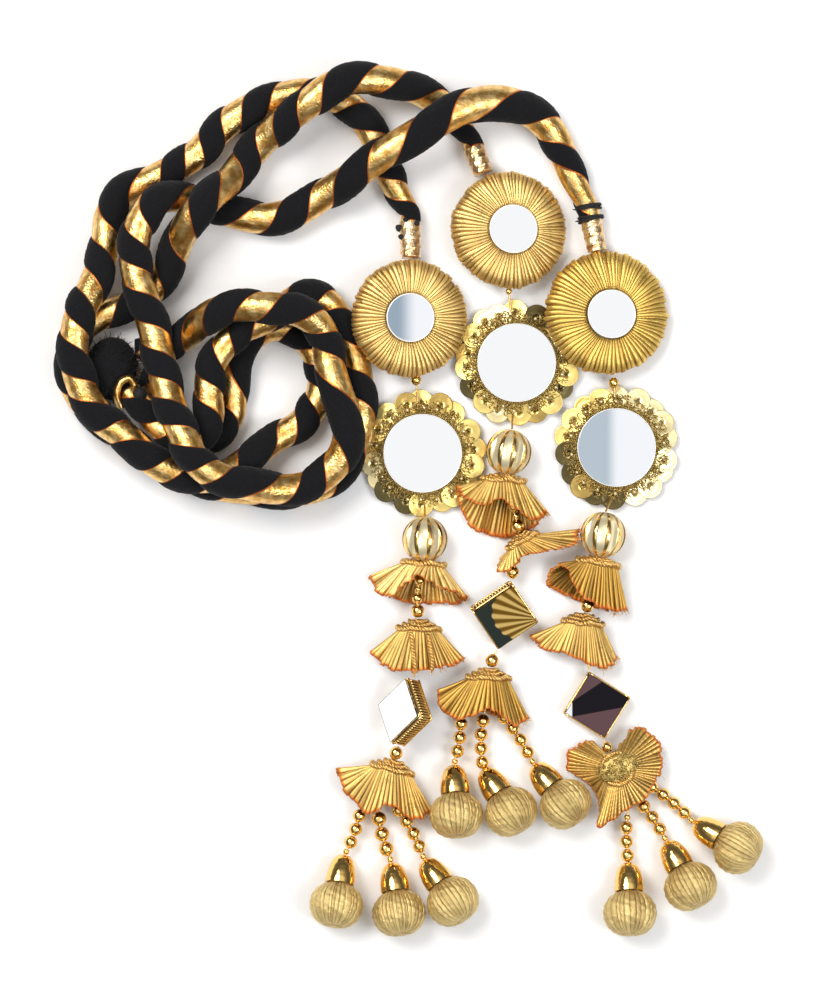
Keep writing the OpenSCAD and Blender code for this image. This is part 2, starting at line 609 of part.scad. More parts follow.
// Point on a string between its two ends, bowed sideways
function string_point(row, t) =
    let (span = row[1] - row[0], aside = unit(cross(span, [0, 0, 1])))
    row[0] + span * t + aside * (row[3] * 4 * t * (1 - t));

// Distance along a string from its packed end to the centre of one bead
function bead_distance(sizes, i, k = 0, run = 0) =
    k == i ? run + sizes[i] / 2 + bead_gap
           : bead_distance(sizes, i, k + 1, run + sizes[k] + bead_gap);

module drilled_bead(d) {
    difference() {
        sphere(d = d);
        cylinder(r = bead_bore_r, h = 2 * d, center = true);
    }
}

module beads(s) {
    color(gold) for (row = all_strings(s)) {
        sizes = row[4];
        span = norm(row[1] - row[0]);
        if (len(sizes) > 0) for (i = [0:len(sizes) - 1]) {
            t = bead_distance(sizes, i) / span;
            along(string_point(row, t), string_point(row, t + 0.02) - string_point(row, t - 0.02))
                drilled_bead(sizes[i]);
        }
    }
}

// Threads: each runs through its beads and on to the point where it is tied
module thread(s) {
    color(gold) for (row = all_strings(s)) {
        pts = concat([for (k = [0:string_steps]) string_point(row, k / string_steps)], [row[2]]);
        tube(pts, [for (p = pts) thread_r], thread_sides);
    }
}

module bell_caps(s) {
    color(gold) for (drop = drops[s])
        along(cap_top(drop), -drop_axis(drop)) rotate_extrude() polygon(cap_section);
}

module ball(s, i) {
    drop = drops[s][i];
    color(pale_gold) along(ball_at(drop), drop_axis(drop))
        rotate_extrude() polygon([for (row = ball_section) [row[0] * ball_r, row[1]]]);
}

head();
cord(0);  // cord_left
cord(1);  // cord_middle
cord(2);  // cord_right
stem(0);  // stem_left
stem(1);  // stem_middle
stem(2);  // stem_right
rosette(0);  // rosette_left
rosette(1);  // rosette_middle
rosette(2);  // rosette_right
rosette_mirror(0);  // rosette_mirror_left
rosette_mirror(1);  // rosette_mirror_middle
rosette_mirror(2);  // rosette_mirror_right
flower(0);  // flower_left
flower(1);  // flower_middle
flower(2);  // flower_right
sequins(0);  // sequins_left
sequins(1);  // sequins_middle
sequins(2);  // sequins_right
flower_mirror(0);  // flower_mirror_left
flower_mirror(1);  // flower_mirror_middle
flower_mirror(2);  // flower_mirror_right
ribbed_bead(0);  // ribbed_bead_left
ribbed_bead(1);  // ribbed_bead_middle
ribbed_bead(2);  // ribbed_bead_right
fan_top(0);  // fan_top_left
fan_top(1);  // fan_top_middle
fan_top(2);  // fan_top_right
fan_mid(0);  // fan_mid_left
fan_mid(1);  // fan_mid_middle
fan_mid(2);  // fan_mid_right
fan_low(0);  // fan_low_left
fan_low(1);  // fan_low_middle
fan_low(2);  // fan_low_right
diamond_frame(0);  // diamond_frame_left
diamond_frame(1);  // diamond_frame_middle
diamond_frame(2);  // diamond_frame_right
diamond_mirror(0);  // diamond_mirror_left
diamond_mirror(1);  // diamond_mirror_middle
diamond_mirror(2);  // diamond_mirror_right
beads(0);  // beads_left
beads(1);  // beads_middle
beads(2);  // beads_right
thread(0);  // thread_left
thread(1);  // thread_middle
thread(2);  // thread_right
bell_caps(0);  // bell_caps_left
bell_caps(1);  // bell_caps_middle
bell_caps(2);  // bell_caps_right
ball(0, 0);  // ball_a_left
ball(1, 0);  // ball_a_middle
ball(2, 0);  // ball_a_right
ball(0, 1);  // ball_b_left
ball(1, 1);  // ball_b_middle
ball(2, 1);  // ball_b_right
ball(0, 2);  // ball_c_left
ball(1, 2);  // ball_c_middle
ball(2, 2);  // ball_c_right
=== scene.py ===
"""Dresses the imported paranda: three ribbon-wound cords, each with a gold tassel of pleats and mirrors."""

from __future__ import annotations

import json
import logging
import math
from dataclasses import dataclass, field
from enum import Enum
from typing import Sequence

import bpy
import numpy as np
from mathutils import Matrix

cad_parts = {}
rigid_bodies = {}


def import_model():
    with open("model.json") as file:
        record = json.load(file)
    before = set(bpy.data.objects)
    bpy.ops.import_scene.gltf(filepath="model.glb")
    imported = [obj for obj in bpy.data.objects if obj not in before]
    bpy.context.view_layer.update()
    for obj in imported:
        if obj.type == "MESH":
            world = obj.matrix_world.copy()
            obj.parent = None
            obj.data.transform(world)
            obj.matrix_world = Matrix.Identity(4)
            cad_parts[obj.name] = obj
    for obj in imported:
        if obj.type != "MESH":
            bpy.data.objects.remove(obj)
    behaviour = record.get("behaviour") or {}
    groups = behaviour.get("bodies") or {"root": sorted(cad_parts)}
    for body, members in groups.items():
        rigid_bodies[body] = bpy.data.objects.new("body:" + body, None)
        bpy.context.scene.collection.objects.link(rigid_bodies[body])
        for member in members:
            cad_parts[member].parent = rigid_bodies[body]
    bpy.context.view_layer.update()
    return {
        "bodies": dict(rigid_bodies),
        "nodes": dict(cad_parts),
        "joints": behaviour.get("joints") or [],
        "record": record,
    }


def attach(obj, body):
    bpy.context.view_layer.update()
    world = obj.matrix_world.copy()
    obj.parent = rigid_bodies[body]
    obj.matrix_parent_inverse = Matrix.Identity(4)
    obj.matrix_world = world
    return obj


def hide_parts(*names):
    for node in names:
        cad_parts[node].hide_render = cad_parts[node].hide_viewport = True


LOG = logging.getLogger("paranda")
MM = 0.001
UP = np.array([0.0, 0.0, 1.0])
Pair = tuple[float, float]
Triple = tuple[float, float, float]
Colour = Triple
Rings = np.ndarray
Piece = bpy.types.Object
Material = bpy.types.Material
Random = np.random.Generator


class Strand(Enum):
    """The three strands, numbered from the left."""

    LEFT = 0
    MIDDLE = 1
    RIGHT = 2

    @property
    def tag(self) -> str:
        """Name of the strand as the nodes spell it."""
        return self.name.lower()


class Tone(Enum):
    """Tones of the sequins, by the letter that stands for each in the flowers' table; each is partly the
    film's own colour and partly painted light, a painted highlight on the bright ones and a painted dark
    reflection on the deep and olive ones.
    """

    BRIGHT = "b"
    PALE = "p"
    DEEP = "d"
    OLIVE = "o"


# Shader expressions


class Sock:
    """A shader socket that takes part in arithmetic."""

    def __init__(self, shader: "Shader", socket: bpy.types.NodeSocket) -> None:
        """Keeps the socket and the shader that it belongs to."""
        self.shader = shader
        self.socket = socket

    def _math(self, operation: str, *values: "Sock | float") -> "Sock":
        """One Math node with these inputs."""
        return self.shader.node("ShaderNodeMath", {"operation": operation}, dict(enumerate(values)))

    def __add__(self, other: "Sock | float") -> "Sock":
        """Sum."""
        return self._math("ADD", self, other)

    __radd__ = __add__

    def __sub__(self, other: "Sock | float") -> "Sock":
        """Difference."""
        return self._math("SUBTRACT", self, other)

    def __rsub__(self, other: float) -> "Sock":
        """Difference from a number."""
        return self._math("SUBTRACT", other, self)

    def __mul__(self, other: "Sock | float") -> "Sock":
        """Product."""
        return self._math("MULTIPLY", self, other)

    __rmul__ = __mul__

    def __pow__(self, other: "Sock | float") -> "Sock":
        """Power."""
        return self._math("POWER", self, other)

    def __rpow__(self, other: float) -> "Sock":
        """A number to this power."""
        return self._math("POWER", other, self)

    def wave(self, period: float) -> "Sock":
        """Sine wave from 0 to 1 with this period."""
        return self._math("SINE", self * (2 * math.pi / period)) * 0.5 + 0.5

    def angle(self, other: "Sock") -> "Sock":
        """Angle of the direction with this rise and the other as its run."""
        return self._math("ARCTAN2", self, other)

    def size(self) -> "Sock":
        """Absolute value."""
        return self._math("ABSOLUTE", self)

    def step(self, low: float, high: float) -> "Sock":
        """Smooth step from 0 at low to 1 at high."""
        return self.shader.node(
            "ShaderNodeMapRange",
            {"interpolation_type": "SMOOTHSTEP"},
            {"Value": self, "From Min": low, "From Max": high},
        )


class Shader:
    """A material being put together round one Principled shader."""

    def __init__(self, name: str) -> None:
        """Makes an empty material.

        Args:
            name: its name.
        """
        self.material = bpy.data.materials.new(name)
        self.material.use_nodes = True
        self.tree = self.material.node_tree
        self.principled = self.tree.nodes["Principled BSDF"]

    def node(
        self,
        kind: str,
        settings: dict[str, object] | None = None,
        inputs: dict[str | int, object] | None = None,
        output: str | int = 0,
    ) -> Sock:
        """One node of any type.

        Args:
            kind: the node's type.
            settings: its properties, set before the inputs.
            inputs: values or sockets by input name or number.
            output: name or number of the output to hand back.

        Returns:
            That output.
        """
        made = self.tree.nodes.new(kind)
        for key, value in (settings or {}).items():
            setattr(made, key, value)
        for key, value in (inputs or {}).items():
            if isinstance(value, Sock):
                self.tree.links.new(value.socket, made.inputs[key])
            else:
                made.inputs[key].default_value = value
        return Sock(self, made.outputs[output])

    def attribute(self, name: str) -> Sock:
        """A number that the mesh holds at each point."""
        return self.node("ShaderNodeAttribute", {"attribute_name": name}, output="Fac")

    def place(self) -> Sock:
        """Place on the object, in metres."""
        return self.node("ShaderNodeTexCoord", output="Object")

    def axis_mm(self, name: str) -> Sock:
        """One of the X, Y and Z of the place on the object, in millimetres."""
        return self.node("ShaderNodeSeparateXYZ", inputs={"Vector": self.place()}, output=name) * (1 / MM)

    def noise(self, grain_mm: float, detail: float = 2.0) -> Sock:
        """Smooth noise from 0 to 1, with that size of grain and so many octaves."""
        inputs = {"Vector": self.place(), "Scale": 1 / (grain_mm * MM), "Detail": detail}
        return self.node("ShaderNodeTexNoise", inputs=inputs)

    def cells(self, grain_mm: float) -> Sock:
        """Crumpled facets of about that size, from 0 to 1."""
        inputs = {"Vector": self.place(), "Scale": 1 / (grain_mm * MM)}
        return self.node("ShaderNodeTexVoronoi", inputs=inputs)

    def dust(self) -> Sock:
        """Faint dust on glass, 1 on a speck."""
        return self.noise(0.8, 4).step(0.66, 0.8)

    def blend(self, factor: Sock | float, low: Sock | Colour, high: Sock | Colour) -> Sock:
        """Colour from low, where the factor is 0, to high, where it is 1."""
        low, high = (c if isinstance(c, Sock) else (*c, 1.0) for c in (low, high))
        return self.node("ShaderNodeMix", {"data_type": "RGBA"}, {0: factor, 6: low, 7: high}, output=2)

    def bump(self, height: Sock, depth_mm: float, strength: float = 1.0) -> Sock:
        """Normal of a height from 0 to 1, where 1 stands for that depth."""
        return self.node(
            "ShaderNodeBump", inputs={"Height": height, "Distance": depth_mm * MM, "Strength": strength}
        )

    def done(self, **inputs: Sock | float) -> Material:
        """Sets the Principled shader's inputs.

        Args:
            inputs: by name in small letters with underscores.

        Returns:
            The material.
        """
        for key, value in inputs.items():
            name = key.replace("_", " ").title().replace("Ior", "IOR")
            socket = self.principled.inputs[name]
            if isinstance(value, Sock):
                self.tree.links.new(value.socket, socket)
            else:
                socket.default_value = value
        return self.material


# Finishes


@dataclass(frozen=True)
class Finish:
    """A surface finish that a piece can wear."""

    name: str
    slot: str

    def material(self) -> Material:
        """The finish's material, made once."""
        known = bpy.data.materials.get(self.name)
        return known or self.build(Shader(self.name))

    def build(self, shader: Shader) -> Material:
        """Puts the material together."""
        raise NotImplementedError


@dataclass(frozen=True)
class Cotton(Finish):
    """Matt black puffed cotton with a fine fuzz and soft creases."""

    colour: Colour = (0.0045, 0.0045, 0.0055)
    lint: Colour = (0.02, 0.02, 0.024)
    fuzz_mm: float = 0.35
    crease_mm: float = 4.5
    depth_mm: float = 0.8

    def build(self, shader: Shader) -> Material:
        """Puts the material together.

        Args:
            shader: the material's nodes.

        Returns:
            The material.
        """
        fuzz = shader.noise(self.fuzz_mm, 4)
        crease = shader.noise(self.crease_mm, 2)
        return shader.done(
            base_color=shader.blend(fuzz.step(0.5, 0.8) * 0.8, self.colour, self.lint),
            roughness=0.92,
            sheen_weight=0.05,
            specular_ior_level=0.18,
            normal=shader.bump(crease * 0.8 + fuzz * 0.2, self.depth_mm),
        )


@dataclass(frozen=True)
class Lurex(Finish):
    """Flat metallic ribbon of crushed foil with a copper edge."""

    deep: Colour = (0.62, 0.33, 0.075)
    light: Colour = (1.0, 0.72, 0.3)
    edge: Colour = (0.62, 0.17, 0.03)
    half_band: float = 0.22
    facet_mm: float = 0.9
    drift_mm: float = 3.5
    grain_mm: float = 0.45
    depth_mm: float = 0.22

    def build(self, shader: Shader) -> Material:
        """Puts the material together.

        Args:
            shader: the material's nodes.

        Returns:
            The material.
        """
        crush = shader.cells(self.facet_mm)
        drift = shader.noise(self.drift_mm, 3)
        grain = shader.noise(self.grain_mm, 2)
        edge = shader.attribute("phase").size().step(self.half_band - 0.028, self.half_band - 0.012)
        gold = shader.blend(drift.step(0.3, 0.75), self.deep, self.light)
        return shader.done(
            base_color=shader.blend(edge, gold, self.edge),
            metallic=1.0,
            roughness=0.24 + drift * 0.14 + edge * 0.2,
            normal=shader.bump(crush * 0.55 + drift * 0.6 + grain * 0.25, self.depth_mm),
        )


@dataclass(frozen=True)
class Gota(Finish):
    """Pleated metallic ribbon: painted highlight on the folds, painted shade in the valleys, fine cross weave
    and a copper selvedge.
    """

    deep: Colour = (0.34, 0.165, 0.03)
    light: Colour = (0.96, 0.7, 0.26)
    selvedge: Colour = (0.74, 0.27, 0.06)
    rubbed: Colour = (0.2, 0.14, 0.035)
    weave_mm: float = 0.62
    drift_mm: float = 2.2
    patch_mm: float = 7.0
    fleck_mm: float = 0.55
    grain_mm: float = 0.3
    depth_mm: float = 0.1

    def build(self, shader: Shader) -> Material:
        """Puts the material together.

        Args:
            shader: the material's nodes.

        Returns:
            The material.
        """
        fold = shader.attribute("fold")
        hem = shader.attribute("hem").step(0.93, 0.985)
        weave = shader.attribute("run").wave(self.weave_mm)
        drift = shader.noise(self.drift_mm, 3)
        # Painted light: the pleat height makes the folds lighter and the valleys darker; the drift adds the
        # ribbon's own random tone.
        body = shader.blend(fold * 1.05 + drift * 0.3 - 0.22, self.deep, self.light)
        patch = shader.noise(self.patch_mm, 2).step(0.55, 0.66)
        worn = patch * shader.noise(self.fleck_mm, 1).step(0.5, 0.58)
        return shader.done(
            base_color=shader.blend(hem, shader.blend(worn * 0.6, body, self.rubbed), self.selvedge),
            metallic=0.82,
            roughness=0.3 + drift * 0.18 + hem * 0.2,
            normal=shader.bump(weave * 0.5 + shader.noise(self.grain_mm, 2) * 0.5, self.depth_mm, 0.8),
        )


@dataclass(frozen=True)
class Wire(Finish):
    """Coiled or twisted gold wire and thread."""

    deep: Colour = (0.5, 0.26, 0.06)
    light: Colour = (1.0, 0.76, 0.33)
    roughness: float = 0.27
    grain_mm: float = 0.5
    depth_mm: float = 0.12

    def build(self, shader: Shader) -> Material:
        """Puts the material together.

        Args:
            shader: the material's nodes.

        Returns:
            The material.
        """
        grain = shader.noise(self.grain_mm, 2)
        return shader.done(
            base_color=shader.blend(grain.step(0.35, 0.62), self.deep, self.light),
            metallic=1.0,
            roughness=self.roughness + grain * 0.12,
            normal=shader.bump(grain, self.depth_mm),
        )


@dataclass(frozen=True)
class Polished(Finish):
    """Polished gold with faint handling marks and shallow dents."""

    colour: Colour = (0.95, 0.62, 0.2)
    tarnish: Colour = (0.75, 0.42, 0.1)
    roughness: float = 0.07
    mark_mm: float = 1.6
    dent_mm: float = 4.0
    depth_mm: float = 0.1

    def build(self, shader: Shader) -> Material:
        """Puts the material together.

        Args:
            shader: the material's nodes.

        Returns:
            The material.
        """
        marks = shader.noise(self.mark_mm, 3)
        return shader.done(
            base_color=shader.blend(marks.step(0.5, 0.85), self.colour, self.tarnish),
            metallic=1.0,
            roughness=self.roughness + marks * 0.08,
            normal=shader.bump(shader.noise(self.dent_mm, 1), self.depth_mm, 0.5),
        )


@dataclass(frozen=True)
class Sequin(Finish):
    """Thin pressed disc of metallic film, duller in patches."""

    colour: Colour = (0.93, 0.72, 0.3)
    roughness: float = 0.2
    drift_mm: float = 5.0
    grain_mm: float = 0.6
    depth_mm: float = 0.35

    def build(self, shader: Shader) -> Material:
        """Puts the material together.

        Args:
            shader: the material's nodes.

        Returns:
            The material.
        """
        drift = shader.noise(self.drift_mm, 2)
        dull = tuple(c * 0.7 for c in self.colour)
        return shader.done(
            base_color=shader.blend(drift.step(0.3, 0.8), self.colour, dull),
            metallic=1.0,
            roughness=self.roughness + drift * 0.1,
            normal=shader.bump(drift * 0.7 + shader.noise(self.grain_mm, 1) * 0.05, self.depth_mm),
        )


@dataclass(frozen=True)
class Tissue(Finish):
    """Fine metallic tissue gathered over a ball: thin lines down the folds over a pale ground, with painted
    highlight on the gathers' folds and painted shade between them.
    """

    deep: Colour = (0.27, 0.15, 0.03)
    light: Colour = (0.86, 0.66, 0.28)
    threads: int = 150
    mesh_mm: float = 0.5
    drift_mm: float = 2.0
    facet_mm: float = 1.1
    depth_mm: float = 0.2

    def build(self, shader: Shader) -> Material:
        """Puts the material together.

        Args:
            shader: the material's nodes.

        Returns:
            The material.
        """
        thread = shader.attribute("turn").wave(1 / self.threads)
        mesh = shader.attribute("run").wave(self.mesh_mm)
        drift = shader.noise(self.drift_mm, 3)
        # Painted light: the fold height lightens the gathers and darkens between them; the threads and the
        # drift are the tissue's own tone.
        lit = (shader.attribute("fold") * 0.55 + thread * 0.2 + drift * 0.4).step(0.1, 1.0)
        relief = thread * 0.4 + mesh * 0.25 + shader.cells(self.facet_mm) * 0.9
        return shader.done(
            base_color=shader.blend(lit, self.deep, self.light),
            metallic=0.72,
            roughness=0.31 + drift * 0.16,
            normal=shader.bump(relief, self.depth_mm, 0.9),
        )


@dataclass(frozen=True)
class Mirror(Finish):
    """Glass mirror with faint dust; one side of a soft line at band_x can carry a painted reflection of
    another tone.
    """

    tint: Colour = (0.97, 0.98, 0.98)
    shade: Colour = (0.97, 0.98, 0.98)
    band_x: float = 0.0
    band_soft: float = 6.0

    def build(self, shader: Shader) -> Material:
        """Puts the material together.

        Args:
            shader: the material's nodes.

        Returns:
            The material.
        """
        # Painted reflection: beyond band_x the glass takes the shade colour, standing for a darker part of
        # the room seen in it.
        side = (shader.axis_mm("X") - self.band_x).step(-self.band_soft, self.band_soft)
        return shader.done(
            base_color=shader.blend(side, self.shade, self.tint),
            metallic=1.0,
            roughness=0.015 + shader.dust() * 0.06,
            coat_weight=0.3,
            coat_roughness=0.02,
        )


@dataclass(frozen=True)
class SkirtMirror(Finish):
    """Mirror with a painted reflection of a dark room and of a pleated skirt.

    Attributes:
        room: colour of the room's painted reflection.
        fold: colour of the painted shade in the reflected skirt's valleys.
        ridge: colour of the painted highlight on the reflected skirt's folds.
        middle: x and y of the middle of its hem's curve, in millimetres.
        radius: radius of that curve.
        hinge: x and y that its pleats run to.
        pleats: how many there would be all round.
    """

    room: Colour = (0.035, 0.045, 0.037)
    fold: Colour = (0.2, 0.1, 0.012)
    ridge: Colour = (0.8, 0.55, 0.18)
    middle: Pair = (40.2, -30.3)
    radius: float = 11.6
    hinge: Pair = (50.0, -33.6)
    pleats: int = 30

    def build(self, shader: Shader) -> Material:
        """Puts the material together.

        Args:
            shader: the material's nodes.

        Returns:
            The material.
        """
        x, y = shader.axis_mm("X"), shader.axis_mm("Y")
        aside, ahead = x - self.middle[0], y - self.middle[1]
        pleat = (y - self.hinge[1]).angle(self.hinge[0] - x).wave(2 * math.pi / self.pleats)
        inside = (self.radius + pleat * 0.7 - (aside * aside + ahead * ahead) ** 0.5).step(-0.2, 0.3)
        # Painted reflection of the skirt: darker in its valleys, lighter on its folds, inside the hem's
        # curve.
        skirt = shader.blend(pleat.step(0.15, 0.95), self.fold, self.ridge)
        return shader.done(
            base_color=shader.blend(inside, self.room, skirt),
            metallic=1.0,
            roughness=0.02 + shader.dust() * 0.06,
        )


@dataclass(frozen=True)
class BandedMirror(Finish):
    """Mirror with a painted reflection of a darker room, of a black band between two slanting lines and of a
    bright corner.

    Attributes:
        tint: colour of the room's painted reflection.
        band: colour of the band's painted reflection.
        bright: colour of the corner's painted highlight.
        corner: x where the bright corner ends, in millimetres.
        upper: x, y and slope of the band's upper line.
        lower: the same of its lower line.
    """

    tint: Colour = (0.14, 0.08, 0.085)
    band: Colour = (0.016, 0.014, 0.018)
    bright: Colour = (0.95, 0.96, 1.0)
    corner: float = 62.8
    upper: Triple = (63.2, -69.0, 0.667)
    lower: Triple = (63.2, -75.7, 0.184)

    def build(self, shader: Shader) -> Material:
        """Puts the material together.

        Args:
            shader: the material's nodes.

        Returns:
            The material.
        """
        # Painted reflection: a dark band between two lines and a painted highlight in the corner.
        x, y = shader.axis_mm("X"), shader.axis_mm("Y")
        under = (self.upper[1] - y + (x - self.upper[0]) * self.upper[2]).step(-0.2, 0.2)
        over = (y - self.lower[1] - (x - self.lower[0]) * self.lower[2]).step(-0.2, 0.2)
        dark = shader.blend(under * over, self.tint, self.band)
        return shader.done(
            base_color=shader.blend((self.corner - x).step(-0.15, 0.15), dark, self.bright),
            metallic=1.0,
            roughness=0.02 + shader.dust() * 0.06,
        )


@dataclass(frozen=True)
class Plain(Finish):
    """Quiet surface with a slight drift of tone, for rims, seed beads, ties and the floor."""

    colour: Colour = (0.9, 0.9, 0.9)
    roughness: float = 0.5
    metallic: float = 0.0
    drift: float = 0.08
    grain_mm: float = 2.0

    def build(self, shader: Shader) -> Material:
        """Puts the material together.

        Args:
            shader: the material's nodes.

        Returns:
            The material.
        """
        dim = tuple(c * (1 - self.drift) for c in self.colour)
        return shader.done(
            base_color=shader.blend(shader.noise(self.grain_mm, 2), dim, self.colour),
            metallic=self.metallic,
            roughness=self.roughness,
        )


COTTON = Cotton("black_cotton_cloth", "black_cotton")
LUREX = Lurex("foil_ribbon", "gold_ribbon")
PALE_LUREX = Lurex("stem_foil", "gold_ribbon", (0.7, 0.42, 0.2), (0.98, 0.8, 0.48), (0.75, 0.36, 0.22))
GOTA = Gota("pleated_gota", "pleated_ribbon")
DEEP_GOTA = Gota("golden_gota", "pleated_ribbon", (0.3, 0.15, 0.02), (0.88, 0.62, 0.16))
OCHRE_GOTA = Gota("ochre_gota", "pleated_ribbon", (0.18, 0.082, 0.013), (0.84, 0.56, 0.17))
BROWN_GOTA = Gota("brown_gota", "pleated_ribbon", (0.1, 0.043, 0.006), (0.64, 0.38, 0.08))
OLIVE = Wire("olive_bullion", "bullion", (0.22, 0.13, 0.025), (0.74, 0.56, 0.2), roughness=0.42)
RIBS = Polished("rib_gold", "bullion", (0.95, 0.66, 0.25), (0.8, 0.48, 0.14), roughness=0.2)
# Painted shade: the frame's core between the ribs is dark brown for the shade in the gaps; the rim wire round
# the mirror wears it too.
RIB_GAP_SHADE = Plain("painted_rib_gap_shade", "bullion", (0.1, 0.055, 0.015), roughness=0.45, metallic=0.7)
BRAID = Wire("twisted_braid", "gold_thread", light=(0.95, 0.66, 0.24), roughness=0.34, grain_mm=0.35)
POLISHED = Polished("polished_gold_metal", "polished_gold")
THREAD = Wire("gold_thread_twist", "gold_thread", grain_mm=0.3)
TISSUE = Tissue("ball_tissue", "gold_tissue")
SILVER = Plain("silver_foil", "mirror", (1.0, 0.88, 0.56), roughness=0.3, metallic=0.7)
RIM = Plain("white_rim", "mirror", (0.88, 0.87, 0.82), roughness=0.35, metallic=0.2)
SEED = Plain("seed_bead", "bullion", (0.85, 0.72, 0.42), roughness=0.12, metallic=0.6)
BLACK_TIE = Plain("black_tie", "black_cotton", (0.012, 0.012, 0.012), roughness=0.8, drift=0.4, grain_mm=0.4)
FLOOR = Plain("white_paper", "mirror", (0.9, 0.9, 0.9), roughness=0.55, drift=0.01, grain_mm=30.0)
CLEAR_MIRROR = Mirror("mirror_glass", "mirror")
# Sequin tones: partly the film's own colour, partly painted light, with a painted highlight on the bright
# ones and a painted dark reflection on the deep and olive ones.
SEQUINS = {
    Tone.BRIGHT: Sequin("sequin_bright", "sequin", (0.86, 0.66, 0.22), 0.32),
    Tone.PALE: Sequin("sequin_pale", "sequin", (0.92, 0.78, 0.42), 0.32),
    Tone.DEEP: Sequin("sequin_deep", "sequin", (0.62, 0.42, 0.12)),
    Tone.OLIVE: Sequin("sequin_olive", "sequin", (0.14, 0.11, 0.045), 0.24),
}


# Mesh tools

# Points that a smooth curve is worked out at, from one row of its table to the next
FINE_STEPS = 24
# A direction that no thread runs along, for threads that stand upright
SLANT = np.array([0.37, 0.81, 0.45])


def unit(vectors: np.ndarray) -> np.ndarray:
    """Vectors of length one."""
    return vectors / np.maximum(np.linalg.norm(vectors, axis=-1, keepdims=True), 1e-12)


def flat(degrees: float) -> np.ndarray:
    """Level unit vector at that heading."""
    return np.array([math.cos(math.radians(degrees)), math.sin(math.radians(degrees)), 0.0])


def spun(degrees: float) -> np.ndarray:
    """Matrix that turns rows of places about Z, counter-clockwise from above."""
    c, s = math.cos(math.radians(degrees)), math.sin(math.radians(degrees))
    return np.array([[c, s, 0], [-s, c, 0], [0, 0, 1]])


def even_angles(count: int) -> np.ndarray:
    """Angles of even points round a ring."""
    return np.arange(count) * 2 * math.pi / count


def spokes(angle: np.ndarray, across: np.ndarray, up: np.ndarray) -> np.ndarray:
    """Directions at these angles from one direction towards the other."""
    return np.cos(angle)[..., None] * across + np.sin(angle)[..., None] * up


def distance_along(points: np.ndarray) -> np.ndarray:
    """Distance of each point from the first, measured along the line through them."""
    return np.concatenate([[0], np.cumsum(np.linalg.norm(np.diff(points, axis=0), axis=1))])


def curve_between(a: np.ndarray, b: np.ndarray, c: np.ndarray, d: np.ndarray, share: float) -> np.ndarray:
    """Row on the smooth curve through four rows, at this share of the way from the second to the third."""
    bend, twist = 2 * a - 5 * b + 4 * c - d, 3 * b - a - 3 * c + d
    return 0.5 * (2 * b + (c - a) * share + bend * share**2 + twist * share**3)


def spline(rows: np.ndarray, step: float) -> np.ndarray:
    """Even points on a smooth curve through table rows.

    Args:
        rows: one row a point; the first three columns are the place.
        step: distance between the points handed back.

    Returns:
        Rows with the same columns.
    """
    ends = np.vstack([2 * rows[0] - rows[1], rows, 2 * rows[-1] - rows[-2]])
    fine = []
    for four in zip(ends, ends[1:], ends[2:], ends[3:]):
        fine += [curve_between(*four, share) for share in np.linspace(0, 1, FINE_STEPS, endpoint=False)]
    fine = np.array([*fine, rows[-1]])
    run = distance_along(fine[:, :3])
    even = np.linspace(0, run[-1], max(int(run[-1] / step), 2) + 1)
    return np.column_stack([np.interp(even, run, column) for column in fine.T])


def ring_frames(path: np.ndarray) -> tuple[np.ndarray, np.ndarray]:
    """Directions square to a path.

    Args:
        path: its points.

    Returns:
        A level and an upright direction at each point.
    """
    ahead = unit(np.gradient(path, axis=0))
    across = unit(np.cross(ahead, UP))
    return across, np.cross(across, ahead)


def tube_rings(path: np.ndarray, radius: float | np.ndarray, sides: int) -> Rings:
    """Round rings along a path.

    Args:
        path: points.
        radius: one for all, or one each.
        sides: points in a ring.

    Returns:
        The rings.
    """
    ahead = unit(np.gradient(path, axis=0))
    across = unit(np.cross(ahead, UP if abs(ahead[:, 2]).max() < 0.9 else SLANT))
    up = np.cross(across, ahead)
    wide = np.broadcast_to(np.asarray(radius, float).reshape(-1, 1, 1), (len(path), 1, 1))
    return path[:, None] + wide * spokes(even_angles(sides)[None], across[:, None], up[:, None])


def loop_rings(path: np.ndarray, radius: float, sides: int) -> Rings:
    """Round rings along a path that closes on itself.

    Args:
        path: points.
        radius: radius of the tube.
        sides: points in a ring.

    Returns:
        The rings.
    """
    ahead = unit(np.roll(path, -1, axis=0) - np.roll(path, 1, axis=0))
    across = unit(np.cross(ahead, UP))
    up = np.cross(across, ahead)
    return path[:, None] + radius * spokes(even_angles(sides)[None], across[:, None], up[:, None])


def circle(radius: float | np.ndarray, height: float | np.ndarray, count: int) -> np.ndarray:
    """Even points of a level ring about Z, whose radius and height may change from point to point."""
    angle = even_angles(count)
    return np.stack([radius * np.cos(angle), radius * np.sin(angle), height + 0 * angle], axis=-1)


def revolve(profile: np.ndarray, samples: int) -> Rings:
    """Rings about Z through (radius, height) rows."""
    return circle(profile[:, :1], profile[:, 1:2], samples)


def globe(rows: int, samples: int, last: float = 84.0) -> Rings:
    """Rings of a ball of radius one, from a little over its lowest point to the same under its highest."""
    tilt = np.radians(np.linspace(-last, last, rows))
    return revolve(np.stack([np.cos(tilt), np.sin(tilt)], axis=-1), samples)


def set_along(points: np.ndarray, origin: np.ndarray, ahead: np.ndarray) -> np.ndarray:
    """Turns +Z of a shape so that it runs along a direction, at a place.

    Args:
        points: the shape, about its own origin.
        origin: where its origin goes.
        ahead: the direction.

    Returns:
        The places.
    """
    ahead = unit(np.asarray(ahead, float))
    side = unit(np.cross(UP, ahead)) if abs(ahead[2]) < 0.999 else np.array([1.0, 0.0, 0.0])
    basis = np.stack([side, np.cross(ahead, side), ahead])
    return origin + points @ basis


